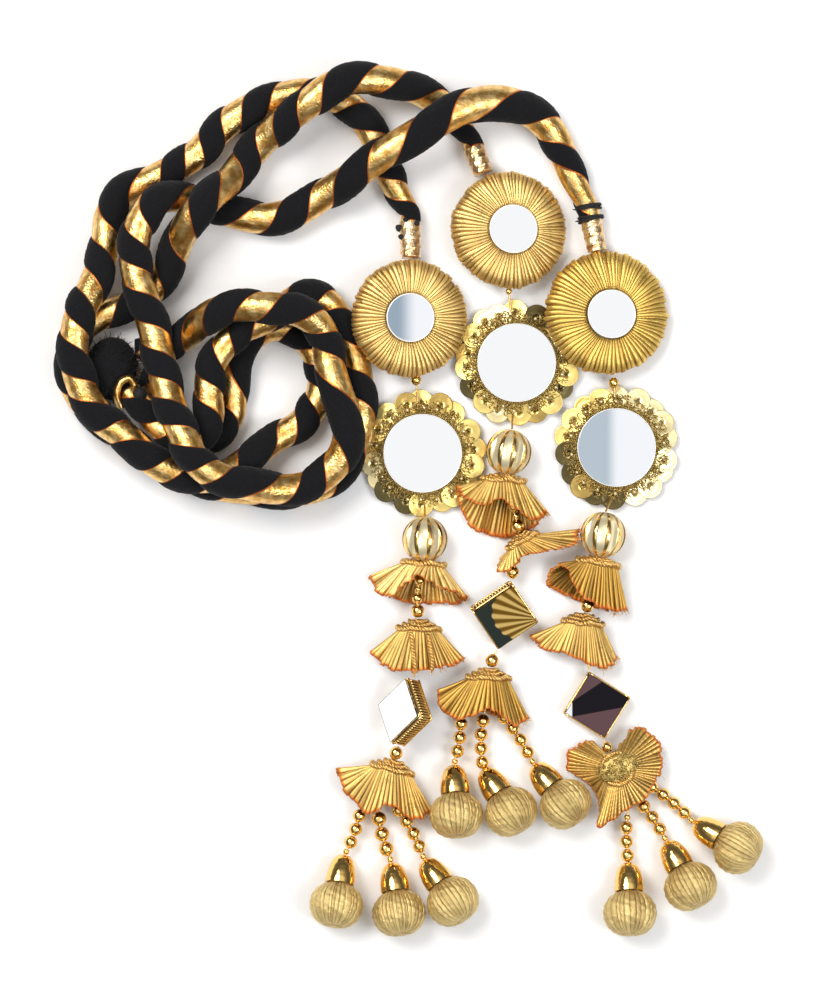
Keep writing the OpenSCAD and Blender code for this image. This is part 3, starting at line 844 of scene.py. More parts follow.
def tilted(points: np.ndarray, toward: float, tilt: float) -> np.ndarray:
    """Points turned about a level axis through the origin.

    Args:
        points: the points.
        toward: heading of the side that rises.
        tilt: by how many degrees.

    Returns:
        The turned points.
    """
    axis = flat(toward - 90)
    c, s = math.cos(math.radians(tilt)), math.sin(math.radians(tilt))
    return points * c + np.cross(axis, points) * s + (points @ axis)[..., None] * axis * (1 - c)


def mesh_object(
    name: str, points: np.ndarray, faces: Sequence[tuple[int, ...]], finishes: Sequence[Finish]
) -> Piece:
    """A smooth mesh object that rides on the root body.

    Args:
        name: its name.
        points: places in metres.
        faces: point numbers of each face.
        finishes: its materials, in order.

    Returns:
        The object.
    """
    mesh = bpy.data.meshes.new(name)
    mesh.from_pydata([tuple(p) for p in points.tolist()], [], faces)
    mesh.update()
    mesh.polygons.foreach_set("use_smooth", [True] * len(mesh.polygons))
    made = bpy.data.objects.new(name, mesh)
    bpy.context.scene.collection.objects.link(made)
    for finish in finishes:
        mesh.materials.append(finish.material())
    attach(made, "root")
    return made


@dataclass
class Skin:
    """A surface through rings of points, with numbers at each point for the shader.

    Attributes:
        rings: places, by ring and by point in the ring.
        name: the piece's name, where it is a piece of its own.
        marks: numbers by name, in the same layout.
        ends: whether the first and last rings are filled.
        looped: whether the last ring joins the first, as in a torus.
        picks: finish number of each column of faces.
    """

    rings: Rings
    name: str = ""
    marks: dict[str, np.ndarray] = field(default_factory=dict)
    ends: bool = False
    looped: bool = False
    picks: np.ndarray | None = None

    def mesh(self) -> tuple[np.ndarray, list[tuple[int, ...]]]:
        """Works out the mesh.

        Returns:
            Points and faces.
        """
        rows, columns = self.rings.shape[:2]
        index = np.arange(rows * columns).reshape(rows, columns)
        index = np.column_stack([index, index[:, 0]])
        if self.looped:
            index = np.vstack([index, index[0]])
        quads = np.stack([index[:-1, :-1], index[:-1, 1:], index[1:, 1:], index[1:, :-1]], axis=-1)
        faces = [tuple(int(v) for v in q) for q in quads.reshape(-1, 4)]
        if self.ends:
            faces += [tuple(range(columns))[::-1], tuple(range((rows - 1) * columns, rows * columns))]
        return self.rings.reshape(-1, 3), faces

    def build(self, *finishes: Finish) -> Piece:
        """Makes the object and sets it on the root body.

        Args:
            finishes: the finishes that picks counts through.

        Returns:
            The object.
        """
        points, faces = self.mesh()
        made = mesh_object(self.name, points, faces, finishes)
        for name, values in self.marks.items():
            layer = made.data.attributes.new(name, "FLOAT", "POINT")
            spread = np.broadcast_to(values, self.rings.shape[:2])
            layer.data.foreach_set("value", spread.ravel().astype(float))
        if self.picks is not None:
            rows = len(self.rings) - (0 if self.looped else 1)
            spare = len(faces) - rows * len(self.picks)
            chosen = np.concatenate([np.tile(self.picks, rows), np.zeros(spare)]).astype(int)
            made.data.polygons.foreach_set("material_index", chosen)
        return made


@dataclass
class Bundle:
    """Many small closed shells gathered into one mesh, with the count of its points so far."""

    points: list[np.ndarray] = field(default_factory=list)
    faces: list[tuple[int, ...]] = field(default_factory=list)
    picks: list[int] = field(default_factory=list)
    count: int = 0

    def add(self, skin: Skin, pick: int = 0) -> None:
        """Adds one shell.

        Args:
            skin: the shell.
            pick: number of the finish that it wears.
        """
        points, faces = skin.mesh()
        self.points.append(points)
        self.faces += [tuple(v + self.count for v in face) for face in faces]
        self.picks += [pick] * len(faces)
        self.count += len(points)

    def tube(self, path: np.ndarray, radius: float | np.ndarray, sides: int, pick: int = 0) -> None:
        """Adds a tube with closed ends."""
        self.add(Skin(tube_rings(path, radius, sides), ends=True), pick)

    def hoop(self, path: np.ndarray, radius: float, sides: int) -> None:
        """Adds a tube that closes on itself."""
        self.add(Skin(loop_rings(path, radius, sides), looped=True))

    def ball(self, centre: np.ndarray, radius: float, pick: int = 0) -> None:
        """Adds a small round bead."""
        self.add(Skin(centre + radius * globe(6, 8), ends=True), pick)

    def build(self, name: str, *finishes: Finish) -> Piece:
        """Makes the object.

        Args:
            name: its name.
            finishes: its finishes, in the order that picks counts.

        Returns:
            The object.
        """
        made = mesh_object(name, np.vstack(self.points), self.faces, finishes)
        made.data.polygons.foreach_set("material_index", self.picks)
        return made


# Cords


@dataclass
class Cord:
    """A padded cotton cord with a flat gold ribbon wound round it.

    Attributes:
        route: x, y, z and radius in metres, and turns of the ribbon, from the stem to the head.
        length: its length along the middle, in metres; not used.
        near_band: half of the gold's share of a turn at the stem, where it is wound closer.
        near_run: distance from the stem where that share ends.
        fade_run: distance over which it goes over into the usual share.
        half_band: half of the gold's usual share of a turn.
        step: distance between the rings.
        gold_columns: faces across the gold.
        black_columns: faces across the black puff.
        ribbon_girth: radius under the ribbon, as a share of the route's radius.
        puff: how far a puff stands over that.
        puff_run: distance over which the size of the puffs changes.
        creases: waves to the millimetre and round the cord of each set of creases.
    """

    strand: Strand
    route: Sequence[tuple[float, float, float, float, float]]
    length: float
    near_band: float
    near_run: float = 0.021
    fade_run: float = 0.035
    half_band: float = 0.22
    step: float = 0.0011
    gold_columns: int = 14
    black_columns: int = 26
    ribbon_girth: float = 0.875
    puff: float = 0.2
    puff_run: float = 0.014
    creases: tuple[tuple[float, int], ...] = ((0.9, 3), (1.7, -4), (2.6, 5), (0.5, 7))

    def phases(self) -> np.ndarray:
        """Works out where the columns of faces lie in one turn of the ribbon.

        Returns:
            Phase of each column: 0 is the middle of the gold band, a half the middle of the black.
        """
        gold = np.linspace(-self.half_band, self.half_band, self.gold_columns + 1)
        black = np.linspace(self.half_band, 1 - self.half_band, self.black_columns + 1)[1:-1]
        return np.concatenate([gold, black])

    def lay(self, phase: np.ndarray, run: np.ndarray) -> np.ndarray:
        """Widens the gold near the stem.

        Args:
            phase: phase of each column.
            run: distance of each ring from the stem.

        Returns:
            Phase at which each column lies, by ring and column.
        """
        near = ((self.near_run + self.fade_run - run) / self.fade_run).clip(0, 1)
        band = (self.half_band + (self.near_band - self.half_band) * near)[:, None]
        black = band + (phase - self.half_band) * (1 - 2 * band) / (1 - 2 * self.half_band)
        return np.where(np.abs(phase) <= self.half_band, phase * band / self.half_band, black)

    def girth(self, phase: np.ndarray, run: np.ndarray, rng: Random) -> np.ndarray:
        """Radius as a share of the route's radius.

        Args:
            phase: phase of each column.
            run: distance of each ring from the stem.
            rng: source of the puffs' differences.

        Returns:
            The shares, by ring and column.
        """
        inside = np.abs(phase) <= self.half_band + 1e-9
        swell = np.clip((phase - self.half_band) / (1 - 2 * self.half_band), 0, 1)
        puff = np.sqrt(np.sin(math.pi * swell).clip(0, 1))
        sizes = rng.uniform(0.75, 1.2, 64)
        size = np.interp(run / self.puff_run, np.arange(len(sizes)), sizes)[:, None]
        along = (run / MM)[:, None]
        around = 2 * math.pi * phase
        creases = sum(
            rng.uniform(0.25, 0.6) * np.sin(along * k + m * around + rng.uniform(0, 6))
            for k, m in self.creases
        )
        black = self.ribbon_girth + (self.puff * size + 0.012 * creases) * puff
        crown = np.cos(phase / self.half_band * math.pi / 2)
        return np.where(inside, self.ribbon_girth + 0.012 * crown + 0.003 * creases, black)

    def build(self) -> Piece:
        """Returns:
            The cord.
        """
        rng = np.random.default_rng(11 + self.strand.value)
        rows = spline(np.array(self.route), self.step)
        path, radius, turn = rows[:, :3], rows[:, 3], rows[:, 4]
        run = distance_along(path)
        across, up = ring_frames(path)
        phase = self.phases()
        angle = math.pi / 2 + 2 * math.pi * (turn[:, None] - self.lay(phase, run))
        size = radius[:, None] * self.girth(phase, run, rng)
        rings = path[:, None] + size[..., None] * spokes(angle, across[:, None], up[:, None])
        rings[..., 2] = rings[..., 2].clip(0.0002)
        picks = np.array([0] * self.gold_columns + [1] * self.black_columns)
        name = f"wound_cord_{self.strand.tag}"
        piece = Skin(rings, name, {"phase": phase}, ends=True, picks=picks).build(LUREX, COTTON)
        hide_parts(f"cord_{self.strand.tag}")
        tuple(path[0])
        [tuple(p) for p in path]
        return piece


# Cord routes: x, y, z, radius in metres, turns of the ribbon
CORD_ROUTES = {
    Strand.LEFT: (
        (-0.007, 0.1371, 0.006, 0.0046, 0.3), (-0.0072, 0.1419, 0.0052, 0.0046, 0.53),
        (-0.013, 0.151, 0.0065, 0.006, 1), (-0.0175, 0.162, 0.007, 0.0068, 1.6),
        (-0.022, 0.173, 0.0073, 0.0071, 2.1), (-0.0285, 0.183, 0.0075, 0.0071, 2.55),
        (-0.0385, 0.19, 0.0075, 0.0071, 3.1), (-0.05, 0.1925, 0.0075, 0.0071, 3.6),
        (-0.0615, 0.191, 0.0075, 0.0071, 4), (-0.073, 0.187, 0.0075, 0.0072, 4.5),
        (-0.0835, 0.181, 0.0075, 0.0072, 5), (-0.092, 0.173, 0.0074, 0.0071, 5.5),
        (-0.0995, 0.1655, 0.0074, 0.0071, 6), (-0.1085, 0.16, 0.0072, 0.0071, 6.5),
        (-0.119, 0.1545, 0.0073, 0.0071, 7), (-0.13, 0.1495, 0.0079, 0.0073, 7.3),
        (-0.136, 0.14, 0.009, 0.0073, 7.65), (-0.1375, 0.129, 0.0105, 0.0073, 8),
        (-0.14, 0.117, 0.014, 0.0073, 8.5), (-0.144, 0.106, 0.018, 0.0073, 9),
        (-0.1485, 0.096, 0.0209, 0.0073, 9.6), (-0.1505, 0.084, 0.0214, 0.0073, 10.2),
        (-0.1495, 0.0735, 0.0214, 0.0073, 10.6), (-0.1455, 0.062, 0.0216, 0.0073, 11.1),
        (-0.139, 0.0525, 0.0222, 0.0073, 11.5), (-0.129, 0.045, 0.0227, 0.0072, 12.1),
        (-0.1195, 0.036, 0.0238, 0.0072, 12.5), (-0.1085, 0.0295, 0.0233, 0.0072, 13.1),
        (-0.096, 0.0265, 0.0219, 0.007, 13.6), (-0.085, 0.029, 0.0197, 0.0069, 14.1),
        (-0.075, 0.036, 0.0146, 0.0069, 14.5), (-0.065, 0.0435, 0.0083, 0.0069, 14.8),
        (-0.054, 0.0505, 0.0071, 0.0069, 15.3), (-0.047, 0.0595, 0.0072, 0.0069, 15.9),
        (-0.045, 0.07, 0.0071, 0.0068, 16.5), (-0.0485, 0.082, 0.007, 0.0068, 17.2),
        (-0.0565, 0.09, 0.007, 0.0068, 17.7), (-0.067, 0.0915, 0.0069, 0.0068, 18.2),
        (-0.0765, 0.086, 0.007, 0.0068, 18.5), (-0.082, 0.076, 0.007, 0.0068, 18.7),
        (-0.083, 0.064, 0.007, 0.0068, 18.9), (-0.084, 0.0535, 0.007, 0.0066, 19.3),
        (-0.09, 0.045, 0.0066, 0.0062, 19.7), (-0.0995, 0.0435, 0.0064, 0.0062, 20.2),
        (-0.1075, 0.05, 0.0063, 0.0061, 20.6), (-0.1125, 0.059, 0.0064, 0.0059, 21),
        (-0.1175, 0.069, 0.0065, 0.0055, 21.3), (-0.1225, 0.0715, 0.0065, 0.0043, 21.6)
    ),
    Strand.MIDDLE: (
        (0.0205, 0.1687, 0.0063, 0.0046, 0.3), (0.0187, 0.1732, 0.0053, 0.0046, 0.46),
        (0.0115, 0.183, 0.0068, 0.0062, 0.85), (0.003, 0.19, 0.0085, 0.007, 1.1),
        (-0.008, 0.195, 0.0135, 0.0072, 1.5), (-0.02, 0.197, 0.019, 0.0073, 1.95),
        (-0.032, 0.197, 0.022, 0.0074, 2.35), (-0.042, 0.193, 0.023, 0.0075, 2.7),
        (-0.05, 0.187, 0.0219, 0.0073, 3.05), (-0.06, 0.18, 0.0174, 0.0073, 3.6),
        (-0.069, 0.1725, 0.0125, 0.0073, 4.1), (-0.077, 0.164, 0.011, 0.0074, 4.5),
        (-0.084, 0.1545, 0.0171, 0.0073, 4.95), (-0.092, 0.147, 0.0247, 0.0074, 5.3),
        (-0.0995, 0.1385, 0.0251, 0.0074, 5.8), (-0.1055, 0.129, 0.0183, 0.0073, 6.15),
        (-0.1105, 0.118, 0.0113, 0.0072, 6.6), (-0.117, 0.1085, 0.0079, 0.007, 7),
        (-0.127, 0.1015, 0.007, 0.0068, 7.5), (-0.1385, 0.097, 0.0069, 0.0066, 8),
        (-0.148, 0.0905, 0.0069, 0.0065, 8.5), (-0.153, 0.081, 0.007, 0.0064, 9),
        (-0.153, 0.07, 0.007, 0.0064, 9.4), (-0.148, 0.0595, 0.0068, 0.0064, 9.9),
        (-0.138, 0.05, 0.0066, 0.0064, 10.3), (-0.127, 0.042, 0.0066, 0.0064, 10.8),
        (-0.115, 0.034, 0.0066, 0.0064, 11.3), (-0.102, 0.027, 0.0066, 0.0064, 11.9),
        (-0.088, 0.0225, 0.0066, 0.0064, 12.6), (-0.073, 0.021, 0.007, 0.0066, 13),
        (-0.059, 0.0205, 0.0072, 0.0068, 13.4), (-0.046, 0.023, 0.0075, 0.007, 13.9),
        (-0.036, 0.0305, 0.0085, 0.007, 14.3), (-0.03, 0.042, 0.0095, 0.007, 14.7),
        (-0.028, 0.054, 0.01, 0.0071, 15), (-0.0285, 0.066, 0.0086, 0.007, 15.5),
        (-0.03, 0.077, 0.0073, 0.0068, 16), (-0.034, 0.088, 0.007, 0.0068, 16.3),
        (-0.0385, 0.0975, 0.0073, 0.0068, 16.65), (-0.045, 0.104, 0.0089, 0.007, 17.1),
        (-0.054, 0.1045, 0.0134, 0.007, 17.5), (-0.062, 0.099, 0.0189, 0.0069, 17.8),
        (-0.07, 0.094, 0.0207, 0.0068, 18.1), (-0.079, 0.09, 0.0204, 0.0068, 18.5),
        (-0.0865, 0.083, 0.0204, 0.0068, 19), (-0.092, 0.074, 0.0206, 0.007, 19.45),
        (-0.093, 0.063, 0.0208, 0.007, 20), (-0.0925, 0.0525, 0.0209, 0.0069, 20.4),
        (-0.097, 0.044, 0.0202, 0.0065, 20.9), (-0.105, 0.0425, 0.0188, 0.0064, 21.4),
        (-0.113, 0.0475, 0.018, 0.0063, 22), (-0.12, 0.055, 0.017, 0.0059, 22.5),
        (-0.128, 0.064, 0.013, 0.0048, 23)
    ),
    Strand.RIGHT: (
        (0.071, 0.1381, 0.006, 0.0049, 0.66), (0.07, 0.1429, 0.0058, 0.0049, 0.8),
        (0.063, 0.156, 0.0065, 0.0062, 1.22), (0.0585, 0.167, 0.0073, 0.0068, 1.56),
        (0.053, 0.177, 0.0085, 0.0073, 2), (0.043, 0.185, 0.0125, 0.0078, 2.45),
        (0.0295, 0.188, 0.0185, 0.008, 2.8), (0.015, 0.1845, 0.023, 0.008, 3.1),
        (-0, 0.176, 0.0241, 0.0077, 3.55), (-0.017, 0.166, 0.0232, 0.0074, 4),
        (-0.03, 0.157, 0.0177, 0.0074, 4.5), (-0.043, 0.149, 0.0116, 0.0074, 5),
        (-0.057, 0.141, 0.0086, 0.0076, 5.5), (-0.071, 0.1385, 0.0078, 0.0075, 6),
        (-0.086, 0.1415, 0.0074, 0.0071, 6.45), (-0.098, 0.146, 0.0087, 0.007, 6.9),
        (-0.107, 0.147, 0.0156, 0.007, 7.15), (-0.1155, 0.145, 0.0215, 0.0072, 7.5),
        (-0.1215, 0.137, 0.0222, 0.0073, 7.85), (-0.1245, 0.1265, 0.0219, 0.0074, 8.35),
        (-0.124, 0.1145, 0.022, 0.0074, 8.9), (-0.12, 0.102, 0.0226, 0.0074, 9.35),
        (-0.1165, 0.09, 0.0237, 0.0074, 9.85), (-0.1135, 0.078, 0.0252, 0.0073, 10.3),
        (-0.111, 0.066, 0.0281, 0.0073, 10.85), (-0.1075, 0.0545, 0.0321, 0.0073, 11.4),
        (-0.103, 0.044, 0.0351, 0.0073, 12), (-0.098, 0.0345, 0.0361, 0.0073, 12.5),
        (-0.089, 0.0275, 0.0361, 0.0073, 13.2), (-0.077, 0.024, 0.0317, 0.0074, 13.65),
        (-0.064, 0.022, 0.0249, 0.0074, 13.95), (-0.051, 0.0235, 0.0222, 0.0073, 14.4),
        (-0.04, 0.031, 0.023, 0.0073, 14.9), (-0.034, 0.0415, 0.0249, 0.0073, 15.3),
        (-0.0345, 0.053, 0.0259, 0.0073, 15.55), (-0.038, 0.065, 0.0245, 0.0073, 15.8),
        (-0.0415, 0.076, 0.0227, 0.0073, 16.05), (-0.043, 0.086, 0.0232, 0.0073, 16.5),
        (-0.048, 0.094, 0.0274, 0.0073, 17), (-0.058, 0.0985, 0.033, 0.0073, 17.45),
        (-0.07, 0.0995, 0.035, 0.0073, 17.95), (-0.082, 0.0995, 0.032, 0.0073, 18.4),
        (-0.0925, 0.096, 0.0268, 0.0072, 18.8), (-0.101, 0.089, 0.018, 0.0069, 19.2),
        (-0.109, 0.084, 0.0107, 0.0064, 19.6), (-0.117, 0.0825, 0.007, 0.0056, 20),
        (-0.125, 0.082, 0.0065, 0.0044, 20.3)
    ),
}
CORD_LENGTHS = {Strand.LEFT: 0.538, Strand.MIDDLE: 0.614, Strand.RIGHT: 0.587}
# Half of the gold's share of a turn at each cord's stem
NEAR_BANDS = {Strand.LEFT: 0.24, Strand.MIDDLE: 0.26, Strand.RIGHT: 0.34}


# Rosettes and flowers

# A knife pleat: share of its width, and height from 0 in the valley to 1 on the fold
PLEAT_FORM = np.array(
    [[0, 0], [0.06, 0.45], [0.16, 0.88], [0.3, 1], [0.5, 0.93], [0.7, 0.8], [0.85, 0.66], [0.95, 0.3]]
)


def per_pleat(values: np.ndarray) -> np.ndarray:
    """One value a pleat, repeated for each of its columns."""
    return np.repeat(values, len(PLEAT_FORM))


def pleat_columns(count: int, rng: Random, spread: float = 0.3) -> tuple[np.ndarray, ...]:
    """Columns round a ring of knife pleats of unequal width.

    Args:
        count: pleats.
        rng: source of their differences.
        spread: how unequal they are.

    Returns:
        Turn of each column from 0 to 1, its height from 0 in a valley to 1 on a fold, and its pleat's size.
    """
    widths = 1 + rng.uniform(-spread, spread, count)
    starts = np.concatenate([[0], np.cumsum(widths)])[:-1] / widths.sum()
    turn = (starts[:, None] + widths[:, None] / widths.sum() * PLEAT_FORM[:, 0]).ravel()
    return turn, np.tile(PLEAT_FORM[:, 1], count), per_pleat(rng.uniform(0.55, 1.2, count))


@dataclass
class Rosette:
    """Thick disc of gathered pleated ribbon round a small mirror, in millimetres.

    Attributes:
        seat: x and y, heading of the raised side, tilt, height of the lowest edge.
        radius: outer radius.
        shift: how far its mirror sits off the middle.
        finish: what the ribbon wears.
        foot: radius of the edge that it lies on, as a share of its own.
        profile: share of the radius, height and pleat depth, from the mirror over the rim to the foot.
        selvedge_z: height of the ribbon's copper edge.
        rim: radius, height and wire radius of the ring round the mirror.
    """

    strand: Strand
    seat: tuple[float, float, float, float, float]
    radius: float
    shift: Pair
    finish: Finish
    foot: float = 0.91
    pleats: int = 76
    profile: tuple[Triple, ...] = (
        (0.4, 8.7, 0.15), (0.43, 9.5, 0.3), (0.52, 10.0, 0.45), (0.68, 10.0, 0.55), (0.84, 9.0, 0.7),
        (0.95, 7.0, 0.9), (0.992, 4.6, 0.8), (0.975, 2.2, 0.7), (0.91, 0.5, 0.2),
    )
    selvedge_z: float = 5.6
    rim: Triple = (10.2, 10.4, 0.32)

    def seated(self, points: np.ndarray) -> np.ndarray:
        """Points from the rosette's own millimetres to the part's metres.

        Args:
            points: the points.

        Returns:
            Their places.
        """
        x, y, toward, tilt, lift = self.seat
        rise = lift + self.foot * self.radius * math.sin(math.radians(tilt))
        return (tilted(points, toward, tilt) + np.array([x, y, rise])) * MM

    def disc(self) -> Piece:
        """Makes the pleated disc in place of its CAD solid.

        Returns:
            The disc.
        """
        rng = np.random.default_rng(31 + self.strand.value)
        rows = spline(np.array([(s * self.radius, z, d) for s, z, d in self.profile]), 1.0)
        outward = unit(np.column_stack([np.gradient(rows[:, 1]), -np.gradient(rows[:, 0])])) * -1
        turn, fold, own = pleat_columns(self.pleats, rng)
        lean = per_pleat(rng.uniform(-0.5, 0.5, self.pleats))
        share = (rows[:, 0] / self.radius)[:, None]
        angle = 2 * math.pi * (turn + (0.004 + 0.006 * lean) * (share - 0.4))
        deep = (fold * own - 0.5) * rows[:, 2:]
        wobble = per_pleat(rng.normal(0, 0.25, self.pleats)) * (share > 0.9)
        reach = rows[:, :1] + outward[:, :1] * deep + wobble
        height = rows[:, 1:2] + outward[:, 1:] * deep
        rings = np.stack([reach * np.cos(angle), reach * np.sin(angle), height], axis=-1)
        rings[..., :2] += ((0.8 - share) / 0.4).clip(0, 1)[..., None] * np.array(self.shift)
        rings[..., 2] = rings[..., 2].clip(0.15)
        run = distance_along(rows[:, :2])
        selvedge = np.interp(self.selvedge_z, rows[::-1, 1], run[::-1])
        hem = np.clip(0.968 - 0.055 * np.abs(run - selvedge), 0, 1)
        marks = {"fold": (fold * own)[None], "run": run[:, None], "hem": hem[:, None]}
        disc = Skin(self.seated(rings), f"pleated_rosette_{self.strand.tag}", marks).build(self.finish)
        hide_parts(f"rosette_{self.strand.tag}")
        return disc

    def build(self) -> list[Piece]:
        """Makes the disc and the rim of its mirror.

        Returns:
            Both.
        """
        radius, height, wire = self.rim
        ring = circle(radius, height, 72)
        ring[:, :2] += np.array(self.shift)
        rim = Bundle()
        rim.add(Skin(self.seated(loop_rings(ring, wire, 6)), looped=True))
        return [self.disc(), rim.build(f"rosette_rim_{self.strand.tag}", RIM)]


@dataclass
class Flower:
    """Round mirror on a band of bullion scribble, with two rows of sequins round it, in millimetres.

    Attributes:
        centre: x and y.
        tones: letter of each sequin's tone, counter-clockwise from the right.
        orbit: distance of the sequins from the middle.
        row_z: height of the lower and the upper row.
        first: heading of the first sequin.
        sequin: radius and height of a sequin's section, from its hole over the top and back below.
        section: radius and height of the backing and its band.
        scribble_r: inner radius of the scribble and how far it reaches out.
        scribble_z: its height at the mirror.
        loops: loops of wire in it.
        coil: radius, height, wire radius and turns of the neat coil round the mirror.
        edge: radius, height and wire radius of the mirror's rim.
    """

    strand: Strand
    centre: Pair
    tones: str
    orbit: float = 21.9
    row_z: Pair = (3.35, 4.1)
    first: float = 9.0
    sequin: tuple[Pair, ...] = (
        (0.55, 0.08), (2.3, 0.0), (4.6, 0.0), (5.2, 0.12),
        (5.4, 0.08), (4.6, -0.14), (2.3, -0.2), (0.55, -0.1),
    )
    section: tuple[Pair, ...] = (
        (0.5, 0.0), (19.0, 0.0), (19.0, 2.0), (21.6, 2.3), (21.4, 2.9), (19.4, 3.6), (17.6, 4.6),
        (16.95, 4.7), (16.9, 4.25), (0.5, 4.25),
    )
    scribble_r: Pair = (17.4, 5.2)
    scribble_z: float = 5.1
    loops: int = 620
    coil: tuple[float, float, float, int] = (17.45, 5.55, 0.19, 130)
    edge: Triple = (16.75, 6.0, 0.2)

    def at(self, points: np.ndarray) -> np.ndarray:
        """Points from the flower's own millimetres to the part's metres."""
        return (points + np.array([*self.centre, 0.0])) * MM

    def heading(self, index: int) -> float:
        """Heading of a sequin before its own small difference."""
        return self.first + 360 / len(self.tones) * index

    def sequins(self, rng: Random) -> Piece:
        """Makes cupped discs with a hole, the upper row over the gaps of the lower.

        Args:
            rng: source of their differences.

        Returns:
            Both rows.
        """
        disc = revolve(np.array(self.sequin), 26)
        order = list(SEQUINS)
        heap = Bundle()
        for i, letter in enumerate(self.tones):
            angle = self.heading(i) + rng.uniform(-4, 4)
            lean = tilted(disc, angle + 180 + rng.uniform(-35, 35), rng.uniform(8.0, 13.0))
            place = flat(angle) * (self.orbit + rng.uniform(-0.7, 0.5)) + UP * self.row_z[i % 2]
            heap.add(Skin(self.at(lean + place), looped=True), order.index(Tone(letter)))
        made = heap.build(f"sequin_rows_{self.strand.tag}", *SEQUINS.values())
        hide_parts(f"sequins_{self.strand.tag}")
        return made

    def wire_loop(self, rng: Random) -> np.ndarray:
        """One loose loop of coiled wire on the band.

        Args:
            rng: source of its place and form.

        Returns:
            Its points.
        """
        inner, width = self.scribble_r
        angle, out = rng.uniform(0, 360), width * rng.uniform(0, 1) ** 1.4
        size = rng.uniform(0.5, 1.2)
        sweep = np.linspace(0, rng.uniform(3.5, 6.2), 9)
        arc = np.stack([size * np.cos(sweep), size * np.sin(sweep), np.linspace(-0.3, 0.3, 9)], axis=-1)
        turned = tilted(arc, rng.uniform(0, 360), rng.uniform(10, 80))
        height = self.scribble_z - 0.22 * out + rng.uniform(-0.4, 0.5)
        return turned + flat(angle) * (inner + out) + UP * height

    def scribble(self, rng: Random) -> Piece:
        """Makes loose loops of wire, a neat coil round the mirror, and each sequin's bead and stitches.

        Args:
            rng: source of their differences.

        Returns:
            All of them in one mesh.
        """
        heap = Bundle()
        for _ in range(self.loops):
            line = self.wire_loop(rng)
            heap.tube(self.at(line), rng.uniform(0.14, 0.24) * MM, 4)
        radius, height, wire, turns = self.coil
        spin = even_angles(8 * turns) * turns
        coil = circle(radius + 0.5 * np.cos(spin), height + 0.5 * np.sin(spin), 8 * turns)
        heap.add(Skin(self.at(loop_rings(coil, wire, 4)), looped=True))
        swing = np.linspace(0, math.pi, 6)[:, None]
        for i in range(len(self.tones)):
            angle = self.heading(i) + rng.uniform(-4, 4)
            spot = flat(angle) * (self.orbit - rng.uniform(1.0, 2.4)) + UP * (4.5 + 0.75 * (i % 2))
            heap.ball(self.at(spot), 0.9 * MM, 1)
            for _ in range(3):
                stitch = 1.25 * np.cos(swing) * flat(rng.uniform(0, 360)) + UP * 1.1 * np.sin(swing)
                heap.tube(self.at(stitch + spot - UP * 0.35), 0.12 * MM, 4)
        return heap.build(f"bullion_scribble_{self.strand.tag}", OLIVE, SEED)

    def band(self) -> Piece:
        """Makes the backing and embroidered band in place of the CAD's ring.

        Returns:
            The band.
        """
        rings = self.at(revolve(np.array(self.section), 96))
        made = Skin(rings, f"embroidered_band_{self.strand.tag}", looped=True).build(OLIVE)
        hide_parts(f"flower_{self.strand.tag}")
        return made

    def build(self) -> list[Piece]:
        """Makes all of the flower but its mirror.

        Returns:
            The pieces.
        """
        rng = np.random.default_rng(53 + self.strand.value)
        radius, height, wire = self.edge
        rim = Bundle()
        rim.add(Skin(self.at(loop_rings(circle(radius, height, 96), wire, 6)), looped=True))
        return [
            self.band(),
            self.sequins(rng),
            self.scribble(rng),
            rim.build(f"mirror_edge_{self.strand.tag}", RIM),
        ]


# Beads and skirts


@dataclass
class RibbedBead:
    """Silvery bead under raised gold ribs that run from hole to hole, in millimetres.

    Attributes:
        centre: its middle.
        heading: heading of its bore.
        radius: radius over the ribs.
        rib_h: height of a rib.
        form: share of the spacing and share of a rib's height, across a rib and the silver beside it.
        gold_columns: faces across the rib itself.
    """

    strand: Strand
    centre: Triple
    heading: float
    radius: float = 9.8
    ribs: int = 10
    rib_h: float = 0.7
    form: tuple[Pair, ...] = (
        (0.0, 0.15), (0.022, 0.85), (0.055, 1.0), (0.165, 0.7), (0.275, 1.0), (0.308, 0.85), (0.33, 0.15),
        (0.363, 0.0), (0.44, 0.0), (0.495, 0.0), (0.528, 0.0),
    )
    gold_columns: int = 6

    def build(self) -> Piece:
        """Makes the bead in place of its CAD solid.

        Returns:
            The bead.
        """
        form = np.array(self.form)
        angle = (np.arange(self.ribs)[:, None] + form[:, 0]).ravel() * 2 * math.pi / self.ribs
        tilt = np.radians(np.linspace(-80, 80, 25))[:, None]
        groove = self.rib_h * (1 - np.tile(form[:, 1], self.ribs))
        reach = (self.radius - groove * np.cos(tilt)) * np.cos(tilt)
        height = self.radius * np.sin(tilt) + 0 * angle
        rings = np.stack([reach * np.cos(angle), reach * np.sin(angle), height], axis=-1)
        placed = set_along(rings, np.array(self.centre), flat(self.heading)) * MM
        picks = np.tile(np.arange(len(form)) >= self.gold_columns, self.ribs)
        name = f"ribbed_gold_bead_{self.strand.tag}"
        made = Skin(placed, name, ends=True, picks=picks).build(POLISHED, SILVER)
        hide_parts(f"ribbed_bead_{self.strand.tag}")
        return made


